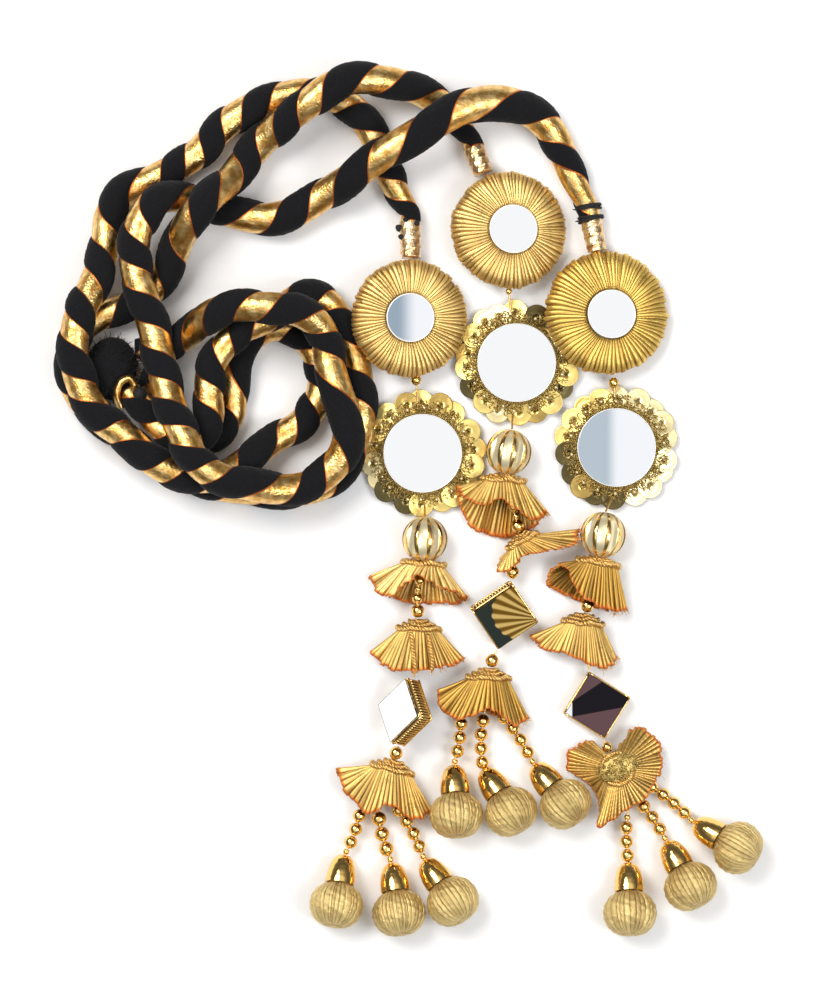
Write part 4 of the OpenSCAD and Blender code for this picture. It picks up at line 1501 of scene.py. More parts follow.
@dataclass
class Skirt:
    """Gathered skirt of pleated ribbon under a twisted braid, in millimetres.

    Attributes:
        node: the CAD node it stands for.
        apex: where its tip is.
        heading: heading of its axis, or of turn 0 where it lies spread out.
        collar: radius of the collar.
        drop: distance from the tip to the collar.
        hem: turn round the axis, then x, y from the tip and height.
        finish: what the ribbon wears.
        spread: whether it lies spread out, seen from its tip.
        tip: radius of its tip.
        squash: height of the collar as a share of its width, where it lies on its side.
        braids: share of the way from tip to collar of each row of the braid, and radius of its strands.
        threads: loose threads at the hem.
        torn: turns between which they are, where it lies on its side.
    """

    node: str
    apex: Triple
    heading: float
    collar: float
    drop: float
    hem: Sequence[tuple[float, float, float, float]]
    finish: Finish
    spread: bool = False
    pleats: int = 50
    tip: float = 2.2
    squash: float = 0.75
    braids: tuple[Pair, ...] = ((0.25, 0.42), (0.6, 0.48), (0.95, 0.6))
    threads: int = 34
    torn: Pair = (120, 185)

    def hem_points(self, turn: np.ndarray) -> np.ndarray:
        """Points of the closed hem.

        Args:
            turn: turn of each in degrees.

        Returns:
            The points.
        """
        rows = np.array(self.hem)
        count = len(rows)
        places = []
        for t in turn % 360:
            i = int(np.searchsorted(rows[:, 0], t, side="right")) - 1
            a, b, c, d = (rows[(i + k) % count] for k in (-1, 0, 1, 2))
            places.append(curve_between(a, b, c, d, ((t - b[0]) % 360) / ((c[0] - b[0]) % 360)))
        return np.array(places)[:, 1:] + np.array([self.apex[0], self.apex[1], 0.0])

    def frame(self) -> tuple[np.ndarray, np.ndarray, np.ndarray]:
        """Works out how the collar lies.

        Returns:
            Its axis, and the directions from its middle to turn 0 and to turn 90.
        """
        if self.spread:
            return -UP, flat(self.heading), flat(self.heading + 90)
        return flat(self.heading), flat(self.heading - 90), UP * self.squash

    def round(self, turn: np.ndarray) -> np.ndarray:
        """Collar directions at each turn in degrees."""
        return spokes(np.radians(turn), *self.frame()[1:])

    def surface(self, turn: np.ndarray, rows: int) -> tuple[np.ndarray, np.ndarray]:
        """Smooth skirt before its pleats.

        Args:
            turn: turn of each column in degrees.
            rows: rings from the collar to the hem.

        Returns:
            Rings, and the share of the way from the collar to the hem at each.
        """
        apex = np.array(self.apex)
        tip = apex + self.tip * self.round(turn)
        collar = apex + self.drop * self.frame()[0] + self.collar * self.round(turn)
        edge = self.hem_points(turn)
        share = np.linspace(0, 1, rows)
        rings = [tip, 0.5 * (tip + collar)] + [collar * (1 - t) + edge * t for t in share]
        return np.array(rings), np.concatenate([[-0.3, -0.15], share])

    def outward(self, rings: np.ndarray) -> np.ndarray:
        """Directions out of the skirt's wall.

        Args:
            rings: the smooth skirt.

        Returns:
            A direction at each of its points.
        """
        around = np.roll(rings, -1, axis=1) - np.roll(rings, 1, axis=1)
        out = unit(np.cross(around, np.gradient(rings, axis=0)))
        inside = rings.mean(axis=1, keepdims=True)
        sign = np.sign((out * (rings - inside)).sum(axis=(1, 2), keepdims=True))
        return out * np.where(sign == 0, 1, sign)

    @staticmethod
    def at_turns(grid: np.ndarray, turns: np.ndarray) -> np.ndarray:
        """The same grid at other turns.

        Args:
            grid: places or directions, by ring and by even turns from 0.
            turns: the turns wanted, in degrees.

        Returns:
            What the grid holds there.
        """
        closed = np.concatenate([grid, grid[:, :1]], axis=1)
        even = np.linspace(0, 360, closed.shape[1])
        rows = [[np.interp(turns, even, ring[:, k]) for k in range(3)] for ring in closed]
        return np.moveaxis(np.array(rows), 1, -1)

    def cloth(self, rng: Random) -> Piece:
        """Makes the pleated ribbon itself.

        Args:
            rng: source of the pleats' differences.

        Returns:
            The ribbon.
        """
        turn, fold, own = pleat_columns(self.pleats, rng, 0.25)
        columns = turn * 360
        smooth, share = self.surface(np.linspace(0, 360, 73)[:-1], 18)
        rings = self.at_turns(smooth, columns)
        normal = unit(self.at_turns(self.outward(smooth), columns))
        depth = np.interp(share, [-0.3, 0, 0.15, 1], [0.15, 0.45, 0.8, 1.7])[:, None]
        low = share[:, None].clip(0)
        frill = per_pleat(rng.uniform(-0.8, 0.6, self.pleats)) * low**3
        ahead = unit(np.gradient(rings, axis=0))
        wave = np.radians(columns) * np.array([[5], [9], [17]])
        sway = (np.sin(wave + rng.uniform(0, 6, (3, 1))) * np.array([[0.9], [0.7], [0.6]])).sum(axis=0)
        slack = (np.linalg.norm(rings[-1] - rings[2], axis=-1) / 15).clip(0.2, 1)
        shift = (fold * own - 0.62) * depth + sway * slack * low**2
        rings = rings + shift[..., None] * normal + (frill * slack)[..., None] * ahead
        rings[..., 2] = rings[..., 2].clip(0.2)
        run = distance_along(rings.mean(axis=1))
        hem = (share + 0.035)[:, None].clip(0, 1)
        marks = {"fold": (fold * own)[None], "run": run[:, None], "hem": hem}
        made = Skin(rings * MM, f"pleated_{self.node}", marks).build(self.finish)
        solid = made.modifiers.new("thickness", "SOLIDIFY")
        solid.thickness, solid.offset = 0.3 * MM, 0.0
        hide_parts(self.node)
        return made

    def braid(self, rng: Random) -> Piece:
        """Makes rows of gold strands twisted round the neck, the thickest at the collar.

        Args:
            rng: source of how they wander.

        Returns:
            The braid.
        """
        axis = self.frame()[0]
        degrees = np.linspace(0, 360, 241)[:-1]
        turn = np.radians(degrees)
        wheel = self.round(degrees)
        out = unit(wheel)
        wander = 0.35 * np.sin(turn * 5 + rng.uniform(0, 6))[:, None]
        heap = Bundle()
        for level, thick in self.braids:
            reach = self.tip + (self.collar + 0.9 - self.tip) * level
            core = np.array(self.apex) + (self.drop * level - 0.4 + wander) * axis + reach * wheel
            twists = int(19 * level) + 3
            for start, count in ((0.0, twists), (math.pi, twists), (0.5, 9)):
                lump = (1.1 * thick + 0.16 * np.sin(turn * 7 + start))[:, None]
                line = core + lump * spokes(turn * count + start, out, axis)
                line[:, 2] = line[:, 2].clip(0.9)
                heap.hoop(line * MM, thick * MM, 6)
        return heap.build(f"braid_{self.node}", BRAID)

    def fray(self, rng: Random) -> Piece:
        """Makes short threads that stand out of the cut edge.

        Args:
            rng: source of their places and forms.

        Returns:
            The threads.
        """
        heap = Bundle()
        low, high = (0, 360) if self.spread else self.torn
        edge = self.hem_points(rng.uniform(low, high, self.threads))
        away = unit(edge - np.array(self.apex))
        for spot, out in zip(edge, away):
            reach = np.linspace(0, rng.uniform(0.8, 2.4), 5)[:, None]
            bend = rng.normal(0, 0.35, 3) * (reach / 2) ** 2
            line = spot + reach * unit(out + rng.normal(0, 0.5, 3)) + bend
            line[:, 2] = line[:, 2].clip(0.3)
            heap.tube(line * MM, 0.09 * MM, 4)
        return heap.build(f"fray_{self.node}", BRAID)

    def build(self, seed: int) -> list[Piece]:
        """Makes the skirt with its braid and loose threads.

        Args:
            seed: starts its differences.

        Returns:
            The pieces.
        """
        rng = np.random.default_rng(seed)
        return [self.cloth(rng), self.braid(rng), self.fray(rng)]


# Diamonds, balls and ends


@dataclass
class Diamond:
    """Square mirror's thick gold frame with ribbed sides, in millimetres.

    Attributes:
        seat: x, y, spin, heading of the raised corner and tilt.
        side: length of a side.
        thick: height of the frame.
        floor_gap: height of its lowest corner.
        ribs: ribs on a side.
        girth: radii along a rib.
        pane: half side, height over the frame and wire radius of the rim round the mirror.
    """

    strand: Strand
    seat: tuple[float, float, float, float, float]
    side: float = 21.6
    thick: float = 7.0
    floor_gap: float = 0.3
    ribs: int = 14
    girth: tuple[float, ...] = (0.4, 0.46, 0.48, 0.46, 0.4)
    pane: Triple = (9.85, 1.2, 0.13)

    def seated(self, points: np.ndarray) -> np.ndarray:
        """Points from the frame's own millimetres to the part's metres.

        Args:
            points: the points.

        Returns:
            Their places.
        """
        x, y, spin, toward, tilt = self.seat
        rise = self.side / math.sqrt(2) * math.sin(math.radians(tilt)) + self.thick / 2 + self.floor_gap
        return (tilted(points @ spun(spin + 45), toward, tilt) + np.array([x, y, rise])) * MM

    def build(self) -> Piece:
        """Makes the frame with upright ribs, and wires along its edges.

        Returns:
            The frame.
        """
        heap = Bundle()
        half, low, high = self.side / 2 - 0.75, -self.thick / 2, self.thick / 2
        square = np.array([[-1, -1, 0], [1, -1, 0], [1, 1, 0], [-1, 1, 0]])
        wall = [
            square * (half - inset) + UP * z
            for z, inset in ((low, 0.6), (low + 0.4, 0.35), (high - 0.4, 0.35), (high, 0.35))
        ]
        # The core shows between the ribs in the dark brown of the painted gap shade.
        heap.add(Skin(self.seated(np.array(wall)), ends=True), 1)
        face = half + 0.1
        upright = np.linspace(low + 0.8, high - 0.8, len(self.girth))
        reach, lift, wire = self.pane
        for turn in (spun(90 * k) for k in range(4)):
            for i in range(self.ribs):
                x = half * (2 * (i + 0.5) / self.ribs - 1)
                rib = np.array([(x, face, z) for z in upright]) @ turn
                heap.tube(self.seated(rib), np.array(self.girth) * MM, 8)
            for z in (low + 0.55, high - 0.6):
                edge = np.array([(x, face, z) for x in np.linspace(-face, face, 9)]) @ turn
                heap.tube(self.seated(edge), 0.45 * MM, 8)
            edge = np.array([(x, reach, high + lift) for x in np.linspace(-reach, reach, 5)]) @ turn
            heap.tube(self.seated(edge), wire * MM, 5, 1)
        made = heap.build(f"ribbed_frame_{self.strand.tag}", RIBS, RIB_GAP_SHADE)
        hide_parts(f"diamond_frame_{self.strand.tag}")
        return made


@dataclass
class Ball:
    """Ball of gathered tissue whose neck goes up into a bell cap, in millimetres.

    Attributes:
        node: the CAD node it stands for.
        place: x and y, and heading towards the cap.
        seed: starts its differences.
        height: height of its middle.
        slope: how far its axis falls towards the cap, in degrees.
        gathers: folds of the tissue.
        section: share of the radius and height, from the lower end to the neck.
    """

    node: str
    place: Triple
    seed: int
    radius: float = 11.5
    height: float = 11.7
    slope: float = 17.0
    gathers: int = 34
    section: tuple[Pair, ...] = (
        (0.02, -9.5), (0.26, -9.4), (0.5, -8.8), (0.71, -7.4), (0.87, -5.2), (0.97, -2.5), (1.0, 0.3),
        (0.95, 3.4), (0.82, 6.0), (0.62, 8.1), (0.44, 9.4), (0.4, 11.0), (0.37, 15.4),
    )

    def build(self) -> Piece:
        """Makes the ball in place of its CAD solid.

        Returns:
            The ball.
        """
        rng = np.random.default_rng(self.seed)
        rows = spline(np.array([(s * self.radius, z, 0.0) for s, z in self.section]), 0.75)
        turn, fold, own = pleat_columns(self.gathers, rng, 0.5)
        angle = 2 * math.pi * turn
        wide, height = rows[:, :1], rows[:, 1:2]
        depth = np.interp(height, [-9, -7.5, -3, 4, 8, 9.5], [0.5, 0.4, 0.3, 0.5, 0.8, 0.3])
        pucker = 0.16 * np.sin(height * 1.9 + 9 * angle + rng.uniform(0, 6))
        reach = wide + (fold * own - 0.8) * depth * (wide > 1.2) + pucker
        crease = 0.4 * np.exp(-(((wide / self.radius - 0.28) / 0.06) ** 2)) * (height < -6)
        rings = np.stack([reach * np.cos(angle), reach * np.sin(angle), height + crease + 0 * reach], axis=-1)
        x, y, heading = self.place
        slope = math.radians(self.slope)
        axis = flat(heading) * math.cos(slope) - UP * math.sin(slope)
        placed = set_along(rings, np.array([x, y, self.height]), axis) * MM
        run = distance_along(rows[:, :2])
        marks = {"fold": (fold * own)[None], "turn": turn[None], "run": run[:, None]}
        made = Skin(placed, f"tissue_{self.node}", marks, ends=True).build(TISSUE)
        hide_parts(self.node)
        return made


@dataclass
class Stem:
    """Gold-wrapped end of a cord, tied with black thread, in millimetres.

    Attributes:
        start: end at the cord.
        end: end at the rosette.
        ties: distance of each black tie from the start, back along the cord.
        knots: x, y, height and radius of each knot of black thread.
        start_r: radius at the cord.
        end_r: radius at the rosette.
        wraps: turns of the gold round it.
    """

    strand: Strand
    start: Triple
    end: Triple
    ties: Sequence[float]
    knots: Sequence[tuple[float, float, float, float]]
    start_r: float = 4.7
    end_r: float = 4.2
    wraps: float = 3.4

    def tie(self, heap: Bundle, spot: np.ndarray, frame: Sequence[np.ndarray], rng: Random) -> None:
        """Adds three coils of black thread and their loose end.

        Args:
            heap: what they are added to.
            spot: middle of the cord there.
            frame: directions along the cord, across it and up.
            rng: source of their differences.
        """
        back, side, lift = frame
        for coil in range(3):
            centre = spot + back * 0.7 * (coil - 1)
            reach = self.start_r + 0.55 + rng.uniform(-0.1, 0.2)
            spin = even_angles(32)
            sway = rng.uniform(-0.6, 0.6) * np.cos(spin)[:, None] * back
            line = centre + reach * spokes(spin, side, lift) + sway
            line[:, 2] = line[:, 2].clip(0.5)
            heap.hoop(line * MM, 0.45 * MM, 6)
        share = np.linspace(0, 1, 5)[:, None]
        droop = share**2 * (back * rng.uniform(-1, 1) - UP * 0.6)
        line = spot + side * (self.start_r + 0.3) + share * side * 1.8 + droop
        heap.tube(line * MM, np.linspace(0.5, 0.2, 5) * MM, 6)

    def build(self) -> list[Piece]:
        """Makes the wrapped stem and its ties.

        Returns:
            The pieces.
        """
        rng = np.random.default_rng(17 + self.strand.value)
        a, b = np.array(self.start), np.array(self.end)
        share = np.linspace(0, 1, 60)[:, None]
        path = a + (b - a) * share
        across, up = ring_frames(path)
        angle = even_angles(40)
        wrap = (share * self.wraps + angle / (2 * math.pi)) % 1
        girth = self.start_r + (self.end_r - self.start_r) * share + 0.35 * (wrap**1.5 - 0.5)
        girth = girth + 0.12 * np.sin(7 * angle + 18 * share + rng.uniform(0, 6))
        rings = path[:, None] + girth[..., None] * spokes(angle[None], across[:, None], up[:, None])
        marks = {"phase": (wrap - 0.5) * 0.43}
        stem = Skin(rings * MM, f"wrapped_stem_{self.strand.tag}", marks, ends=True).build(PALE_LUREX)
        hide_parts(f"stem_{self.strand.tag}")
        back = unit(a - b)
        heap = Bundle()
        for place in self.ties:
            self.tie(heap, a + back * place, (back, across[0], up[0]), rng)
        for *spot, size in self.knots:
            for _ in range(3):
                heap.ball((np.array(spot) + rng.normal(0, 0.3, 3)) * MM, size * rng.uniform(0.7, 1) * MM)
        if not heap.count:
            return [stem]
        return [stem, heap.build(f"thread_ties_{self.strand.tag}", BLACK_TIE)]


@dataclass
class Head:
    """Frayed end where the cords are bound together, in millimetres.

    Attributes:
        centre: its middle.
        half: half of its width, length and height.
        fibres: loose fibres on it.
        lumps: waves round and along it of each set of lumps.
        curl: points of a curl of ribbon.
        beads: place, radius and finish number of each small bead.
    """

    centre: Triple = (-135.0, 74.0, 8.5)
    half: Triple = (11.1, 13.5, 8.0)
    fibres: int = 240
    lumps: tuple[tuple[int, int], ...] = ((3, 1), (5, -2), (8, 3), (13, -5))
    curl: tuple[Triple, ...] = (
        (-130.5, 56.5, 15), (-132.5, 62, 17), (-131, 67.5, 18), (-127, 69.5, 18), (-124.5, 66, 17.5),
    )
    beads: tuple[tuple[Triple, float, int], ...] = (
        ((-122.6, 62.6, 17.5), 3.4, 0), ((-118.7, 55.7, 19.0), 2.2, 1), ((-121.3, 78.5, 15.0), 1.9, 1),
    )

    def wad(self, rng: Random) -> Piece:
        """Makes the lumpy body.

        Args:
            rng: source of its lumps.

        Returns:
            The body.
        """
        tilt = np.radians(np.linspace(-82, 82, 36))[:, None]
        spin = even_angles(56)
        lump = 0.96 + sum(
            0.035 * np.sin(k * spin + m * tilt * 3 + rng.uniform(0, 6)) for k, m in self.lumps
        )
        wide = np.cos(tilt) * lump
        form = np.stack([wide * np.cos(spin), np.sin(tilt) + 0 * spin, wide * np.sin(spin)], axis=-1)
        placed = form[:, ::-1] * np.array(self.half) + np.array(self.centre)
        placed[..., 2] = placed[..., 2].clip(0.3)
        made = Skin(placed * MM, "frayed_head", ends=True).build(COTTON)
        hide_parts("head")
        return made

    def fibre(self, rng: Random) -> np.ndarray:
        """One loose fibre that springs from the body.

        Args:
            rng: source of its place and form.

        Returns:
            Its points.
        """
        out = unit(rng.normal(0, 1, 3) * np.array([1, 1, 0.6]) + UP * 0.3)
        start = np.array(self.centre) + out * np.array(self.half) * 0.92
        reach = np.linspace(0, rng.uniform(1.0, 3.8), 7)[:, None]
        line = start + reach * out + (reach / 4) ** 2 * rng.normal(0, 1.2, 3)
        line[:, 2] = line[:, 2].clip(0.3)
        return line * MM

    def build(self) -> list[Piece]:
        """Makes the body, its fibres, a curl of ribbon and the small beads.

        Returns:
            The pieces.
        """
        rng = np.random.default_rng(5)
        heap = Bundle()
        for _ in range(self.fibres):
            heap.tube(self.fibre(rng), 0.13 * MM, 4)
        path = spline(np.array(self.curl), 0.5)
        across, up = ring_frames(path)
        wide = 1.5 * across
        strip = np.stack([path - wide, path + 0.25 * up, path + wide, path - 0.15 * up], axis=1)
        marks = {"phase": np.array([[0.2, 0.0, 0.2, 0.0]])}
        ribbon = Skin(strip * MM, "ribbon_curl", marks, ends=True).build(LUREX)
        beads = Bundle()
        for place, radius, pick in self.beads:
            beads.ball(np.array(place) * MM, radius * MM, pick)
        return [
            self.wad(rng),
            heap.build("head_fibres", BLACK_TIE),
            ribbon,
            beads.build("head_beads", BLACK_TIE, POLISHED),
        ]


@dataclass
class Boss:
    """Raised oval of bullion scribble stitched on the spread skirt, in millimetres.

    Attributes:
        centre: its middle.
        half: half of its length, width and height.
        heading: heading of its length.
        loops: loops of wire on it.
    """

    centre: Triple = (82.1, -97.4, 13.6)
    half: Triple = (9.0, 5.5, 1.9)
    heading: float = 25.0
    loops: int = 190

    def at(self, points: np.ndarray) -> np.ndarray:
        """Points on a ball of radius one, as they lie on the oval."""
        return (points * np.array(self.half)) @ spun(self.heading) + np.array(self.centre)

    def build(self) -> Piece:
        """Makes the oval and the loops over it.

        Returns:
            The oval.
        """
        rng = np.random.default_rng(41)
        heap = Bundle()
        heap.add(Skin(self.at(globe(13, 36)) * MM, ends=True))
        for _ in range(self.loops):
            spot = rng.uniform(0, 1) ** 0.5 * flat(rng.uniform(0, 360))
            top = spot + UP * math.sqrt(max(1 - spot @ spot, 0.0))
            sweep = np.linspace(0, rng.uniform(3.5, 6.2), 8)
            size = rng.uniform(0.45, 1.0)
            loop = size * spokes(sweep, flat(rng.uniform(0, 360)), unit(rng.normal(0, 1, 3)))
            heap.tube((self.at(top) + loop) * MM, rng.uniform(0.15, 0.25) * MM, 4)
        return heap.build("bullion_oval", OLIVE)


@dataclass
class TwistedEnd:
    """Short loose cord of two twisted gold strands, in millimetres.

    Attributes:
        name: the piece's name.
        seed: starts the differences of its tuft.
        points: points of its middle, from the hidden end to the tuft.
        strand_r: radius of each strand.
        tuft: threads at its end.
    """

    name: str
    seed: int
    points: Sequence[Triple]
    strand_r: float = 0.62
    tuft: int = 14

    def build(self) -> Piece:
        """Makes both strands and the tuft at the end.

        Returns:
            The cord.
        """
        rng = np.random.default_rng(self.seed)
        path = spline(np.array(self.points), 0.4)
        across, up = ring_frames(path)
        spin = np.arange(len(path)) * 0.9
        heap = Bundle()
        for start in (0.0, math.pi):
            heap.tube((path + self.strand_r * spokes(spin + start, across, up)) * MM, self.strand_r * MM, 6)
        for _ in range(self.tuft):
            reach = np.linspace(0, rng.uniform(1.0, 2.6), 5)[:, None]
            ahead = unit(unit(path[-1] - path[-3]) + rng.normal(0, 0.45, 3))
            heap.tube((path[-1] + reach * ahead) * MM, 0.11 * MM, 4)
        return heap.build(self.name, BRAID)


# Loose gold cords with an end in sight: name, seed, points of the middle
TWISTED_ENDS = (
    ("loose_cord_a", 18, ((-6.4, -39.5, 14.4), (-6.0, -43.5, 15.6), (-5.3, -49, 16.2), (-4.7, -54.6, 17.0))),
    ("loose_cord_b", 13, ((0.8, -40.5, 14.8), (1.7, -45, 15.8), (2.5, -50, 16.4), (2.6, -55.2, 17.0))),
)
# Rosettes: x, y, heading of the raised side, tilt, height of the lowest edge; radius; mirror's shift; finish
ROSETTES = {
    Strand.LEFT: ((-8, 95.5, 180, 11, 3.4), 25.2, (-0.7, 0), GOTA),
    Strand.MIDDLE: ((34.7, 133.1, 200, 10, 0), 25.2, (1.1, 0), GOTA),
    Strand.RIGHT: ((77, 97.6, 210, 9.2, 0), 26.7, (1.2, -1.2), DEEP_GOTA),
}
# Flowers: x and y; tone of each sequin from the right, counter-clockwise
FLOWERS = {
    Strand.LEFT: ((-1.5, 37.5), "bbbdbdbbbppoobbbbb"),
    Strand.MIDDLE: ((39, 76.5), "bpbobpbbdbobpbdbob"),
    Strand.RIGHT: ((82, 40), "pppppbdbboodoopppp"),
}
# Ribbed beads: middle, heading of the bore
RIBBED_BEADS = {
    Strand.LEFT: ((-0.5, 0.5, 9.9), -93),
    Strand.MIDDLE: ((35.5, 38, 9.9), -100),
    Strand.RIGHT: ((76, 2.5, 9.9), -98),
}
# Skirts, in the order of the fields of Skirt
SKIRTS = (
    Skirt(
        "fan_top_left", (-1, -9.8, 8), -95, 8.5, 0.5,
        (
            (0, -24, -5, 5), (25, -20.5, -12.5, 9), (50, -14, -14.5, 13), (72, -7.5, -8.5, 16),
            (90, -3.5, -4.5, 17), (108, 1.5, -7.5, 16), (130, 9.5, -11.5, 13), (165, 18, -13.5, 6),
            (195, 16.5, -17.5, 2), (235, 7, -17.5, 2), (270, -2.5, -17.5, 2), (305, -12, -15.5, 2),
            (335, -19.5, -11.5, 2),
        ),
        GOTA,
    ),
    Skirt(
        "fan_top_middle", (33.6, 28, 8), -95, 8.5, 2.5,
        (
            (0, -20.5, -5, 11), (30, -15.5, -11, 14), (60, -8, -13, 16), (85, -1, -10, 17),
            (105, 4, -14.5, 16), (135, 12, -19.5, 12), (175, 19, -16, 5), (200, 13.5, -22, 2),
            (240, 2.5, -26.5, 2), (280, -7.5, -25.5, 2), (310, -14.5, -22.5, 4), (340, -19.5, -12.5, 7),
        ),
        OCHRE_GOTA,
    ),
    Skirt(
        "fan_top_right", (74.4, -7.6, 8), -100, 8.5, 2.5,
        (
            (0, -20, -5, 7), (20, -15, -3, 12), (45, -12, -9, 15), (65, -9.5, -15, 16),
            (85, -3.5, -19, 16), (110, 2.5, -22, 14), (140, 7.5, -23.5, 10), (175, 12, -22, 4.5),
            (205, 5.5, -23, 2), (260, -6, -19.5, 2), (310, -16, -15, 2), (340, -22.5, -11, 3.5),
        ),
        BROWN_GOTA,
    ),
    Skirt(
        "fan_mid_left", (-3, -34, 8), -92, 8.5, 4.5,
        (
            (0, -20.5, -14, 5), (30, -17, -19, 9), (60, -10, -22, 13), (90, -0.5, -22.5, 15),
            (120, 9, -21, 13), (150, 16, -19, 9), (180, 19, -16, 5), (220, 13.5, -18.5, 2),
            (270, 0.5, -20, 2), (320, -13.5, -18.5, 2),
        ),
        OCHRE_GOTA,
    ),
    Skirt(
        "fan_mid_middle", (40, 2.5, 8), -62, 6.5, 3.5,
        (
            (5, -8.5, -16, 6), (35, -4, -15, 12), (65, 2, -9, 14), (90, 8, -8, 14), (115, 14.5, -6.5, 14),
            (135, 22, -5, 13), (155, 25.2, -1.5, 10), (180, 25.3, 2.5, 6), (205, 23, -1.5, 2.5),
            (240, 14, -6, 2), (290, 1.5, -9.5, 2), (335, -8, -11, 2),
        ),
        OCHRE_GOTA,
    ),
    Skirt(
        "fan_mid_right", (68, -31.5, 8), -97, 8, 4.5,
        (
            (0, -22.5, -10.5, 5), (30, -17.5, -15.5, 9), (55, -10.5, -17, 13), (80, -3.5, -19, 15),
            (105, 2.5, -22.5, 14), (140, 10, -23, 10), (180, 14.5, -18.5, 4.5), (220, 8, -19.5, 2),
            (260, -1.5, -19, 2), (300, -12.5, -16, 2), (335, -20.5, -13, 2.5),
        ),
        OCHRE_GOTA,
    ),
    Skirt(
        "fan_low_left", (-13.5, -94.5, 8), -105, 8.5, 4.5,
        (
            (0, -25, -4, 5.5), (25, -21.5, -13, 10), (45, -16, -20, 12), (65, -11, -23.5, 13),
            (85, -4.5, -19.5, 14), (105, 2, -20.5, 14), (130, 7.5, -26, 12), (170, 15.5, -22.5, 5),
            (200, 8, -22.5, 2), (260, -4.5, -18, 2), (310, -16, -14, 2), (340, -23, -8, 2.5),
        ),
        OCHRE_GOTA,
    ),
    Skirt(
        "fan_low_middle", (27, -55, 8), -92, 8.5, 4.5,
        (
            (0, -22, -10.5, 5), (25, -21, -17.5, 10), (50, -14.5, -22, 13), (75, -7.5, -20.5, 15),
            (90, -0.5, -17.5, 16), (110, 5, -20, 15), (140, 11, -25.5, 12), (175, 17, -21, 5),
            (205, 11, -21.5, 2), (260, -1.5, -19.5, 2), (310, -14.5, -18, 2), (340, -21, -14, 2.5),
        ),
        BROWN_GOTA,
    ),
    Skirt(
        "fan_low_right", (82, -98, 14), 128, 6, 1.6,
        (
            (0, -12.5, 11.5, 4.5), (30, -19.5, 8, 4), (60, -21.5, -1, 5), (75, -14, -5, 7),
            (95, -8.5, -14, 9), (115, -8, -24.5, 10), (135, -3, -23, 10.5), (160, 4, -18, 11),
            (185, 11, -14, 11), (210, 16.5, -6, 11), (245, 20, 2.5, 8), (275, 16.8, 12.9, 6),
            (300, 8, 18.5, 5), (322, 3.5, 11.5, 7), (345, -3.6, 5.4, 8.5),
        ),
        OCHRE_GOTA, spread=True, pleats=64,
    ),
)
# Diamonds: x, y, spin, heading of the raised corner, tilt
DIAMONDS = {
    Strand.LEFT: (-8.6, -73.5, -13, -13, 52),
    Strand.MIDDLE: (33.5, -32, -11, 124, 16),
    Strand.RIGHT: (73.5, -71, 13, 0, 0),
}
# Drops: ball x, ball y, heading from the ball to its cap
DROPS = {
    Strand.LEFT: ((-38.5, -156.5, 81), (-11.8, -160, 98), (11.4, -155, 125)),
    Strand.MIDDLE: ((13, -118, 93), (36.4, -116.5, 123), (59.8, -113.2, 129)),
    Strand.RIGHT: ((87.5, -160, 91), (113.5, -148.5, 118), (134, -132, 151)),
}
# Stems: end at the cord, end at the rosette, black ties, knots
STEMS = {
    Strand.LEFT: (
        (-7, 137, 6), (-6.5, 121.6, 8.5), (),
        ((-3.9, 137, 10, 1.3), (-12, 134.4, 8, 1.6), (-10.6, 131, 9, 1.2), (-8.5, 138, 10.6, 1)),
    ),
    Strand.MIDDLE: ((20.5, 168.6, 6.3), (24.6, 158, 8.5), (), ()),
    Strand.RIGHT: ((71, 138, 6), (73.6, 124.6, 6.5), (0.5, 5.5), ()),
}
# Numbers that start the differences of the first skirt and the first ball
FIRST_SKIRT_SEED = 71
FIRST_BALL_SEED = 97
# Finish of each CAD node that stays as it is, by the start of its name
KEPT = {
    "beads": POLISHED, "bell_caps": POLISHED, "thread": THREAD,
    # The left rosette mirror and the right flower mirror carry a painted reflection on one side of a soft
    # line.
    "rosette_mirror_left": Mirror(
        "mirror_painted_blue_reflection", "mirror", (0.95, 0.97, 1.0), (0.33, 0.42, 0.5), band_x=-8.0, band_soft=4.5
    ),
    "rosette_mirror": CLEAR_MIRROR,
    "flower_mirror_right": Mirror(
        "mirror_painted_grey_reflection", "mirror", (0.95, 0.97, 0.99), (0.5, 0.58, 0.64), band_x=80.0, band_soft=3.0
    ),
    "flower_mirror": CLEAR_MIRROR,
    "diamond_mirror_left": CLEAR_MIRROR,
    # The middle and right diamond mirrors wear painted reflections: a skirt, and a dark band with a bright
    # corner.
    "diamond_mirror_middle": SkirtMirror("mirror_painted_skirt_reflection", "mirror"),
    "diamond_mirror_right": BandedMirror("mirror_painted_dark_reflection", "mirror"),
}


@dataclass
class SpunCaps:
    """Bell caps of one strand, spun smooth where the solid's skin is in flat facets.

    Attributes:
        sharp: edges sharper than this stay crisp, in degrees.
    """

    strand: Strand
    sharp: float = 38.0

    def build(self, solid: Piece) -> Piece:
        """Joins the solid's facets into one skin.

        Args:
            solid: the CAD node of the caps.

        Returns:
            The piece that takes its place.
        """
        spots = np.array([solid.matrix_world @ corner.co for corner in solid.data.vertices])
        _, first, joined = np.unique(spots.round(6), axis=0, return_index=True, return_inverse=True)
        joined = joined.ravel()
        faces = [tuple(joined[list(face.vertices)].tolist()) for face in solid.data.polygons]
        faces = [face for face in faces if len(set(face)) == len(face)]
        made = mesh_object(f"spun_caps_{self.strand.tag}", spots[first], faces, [POLISHED])
        made.data.set_sharp_from_angle(angle=math.radians(self.sharp))
        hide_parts(f"bell_caps_{self.strand.tag}")
        return made


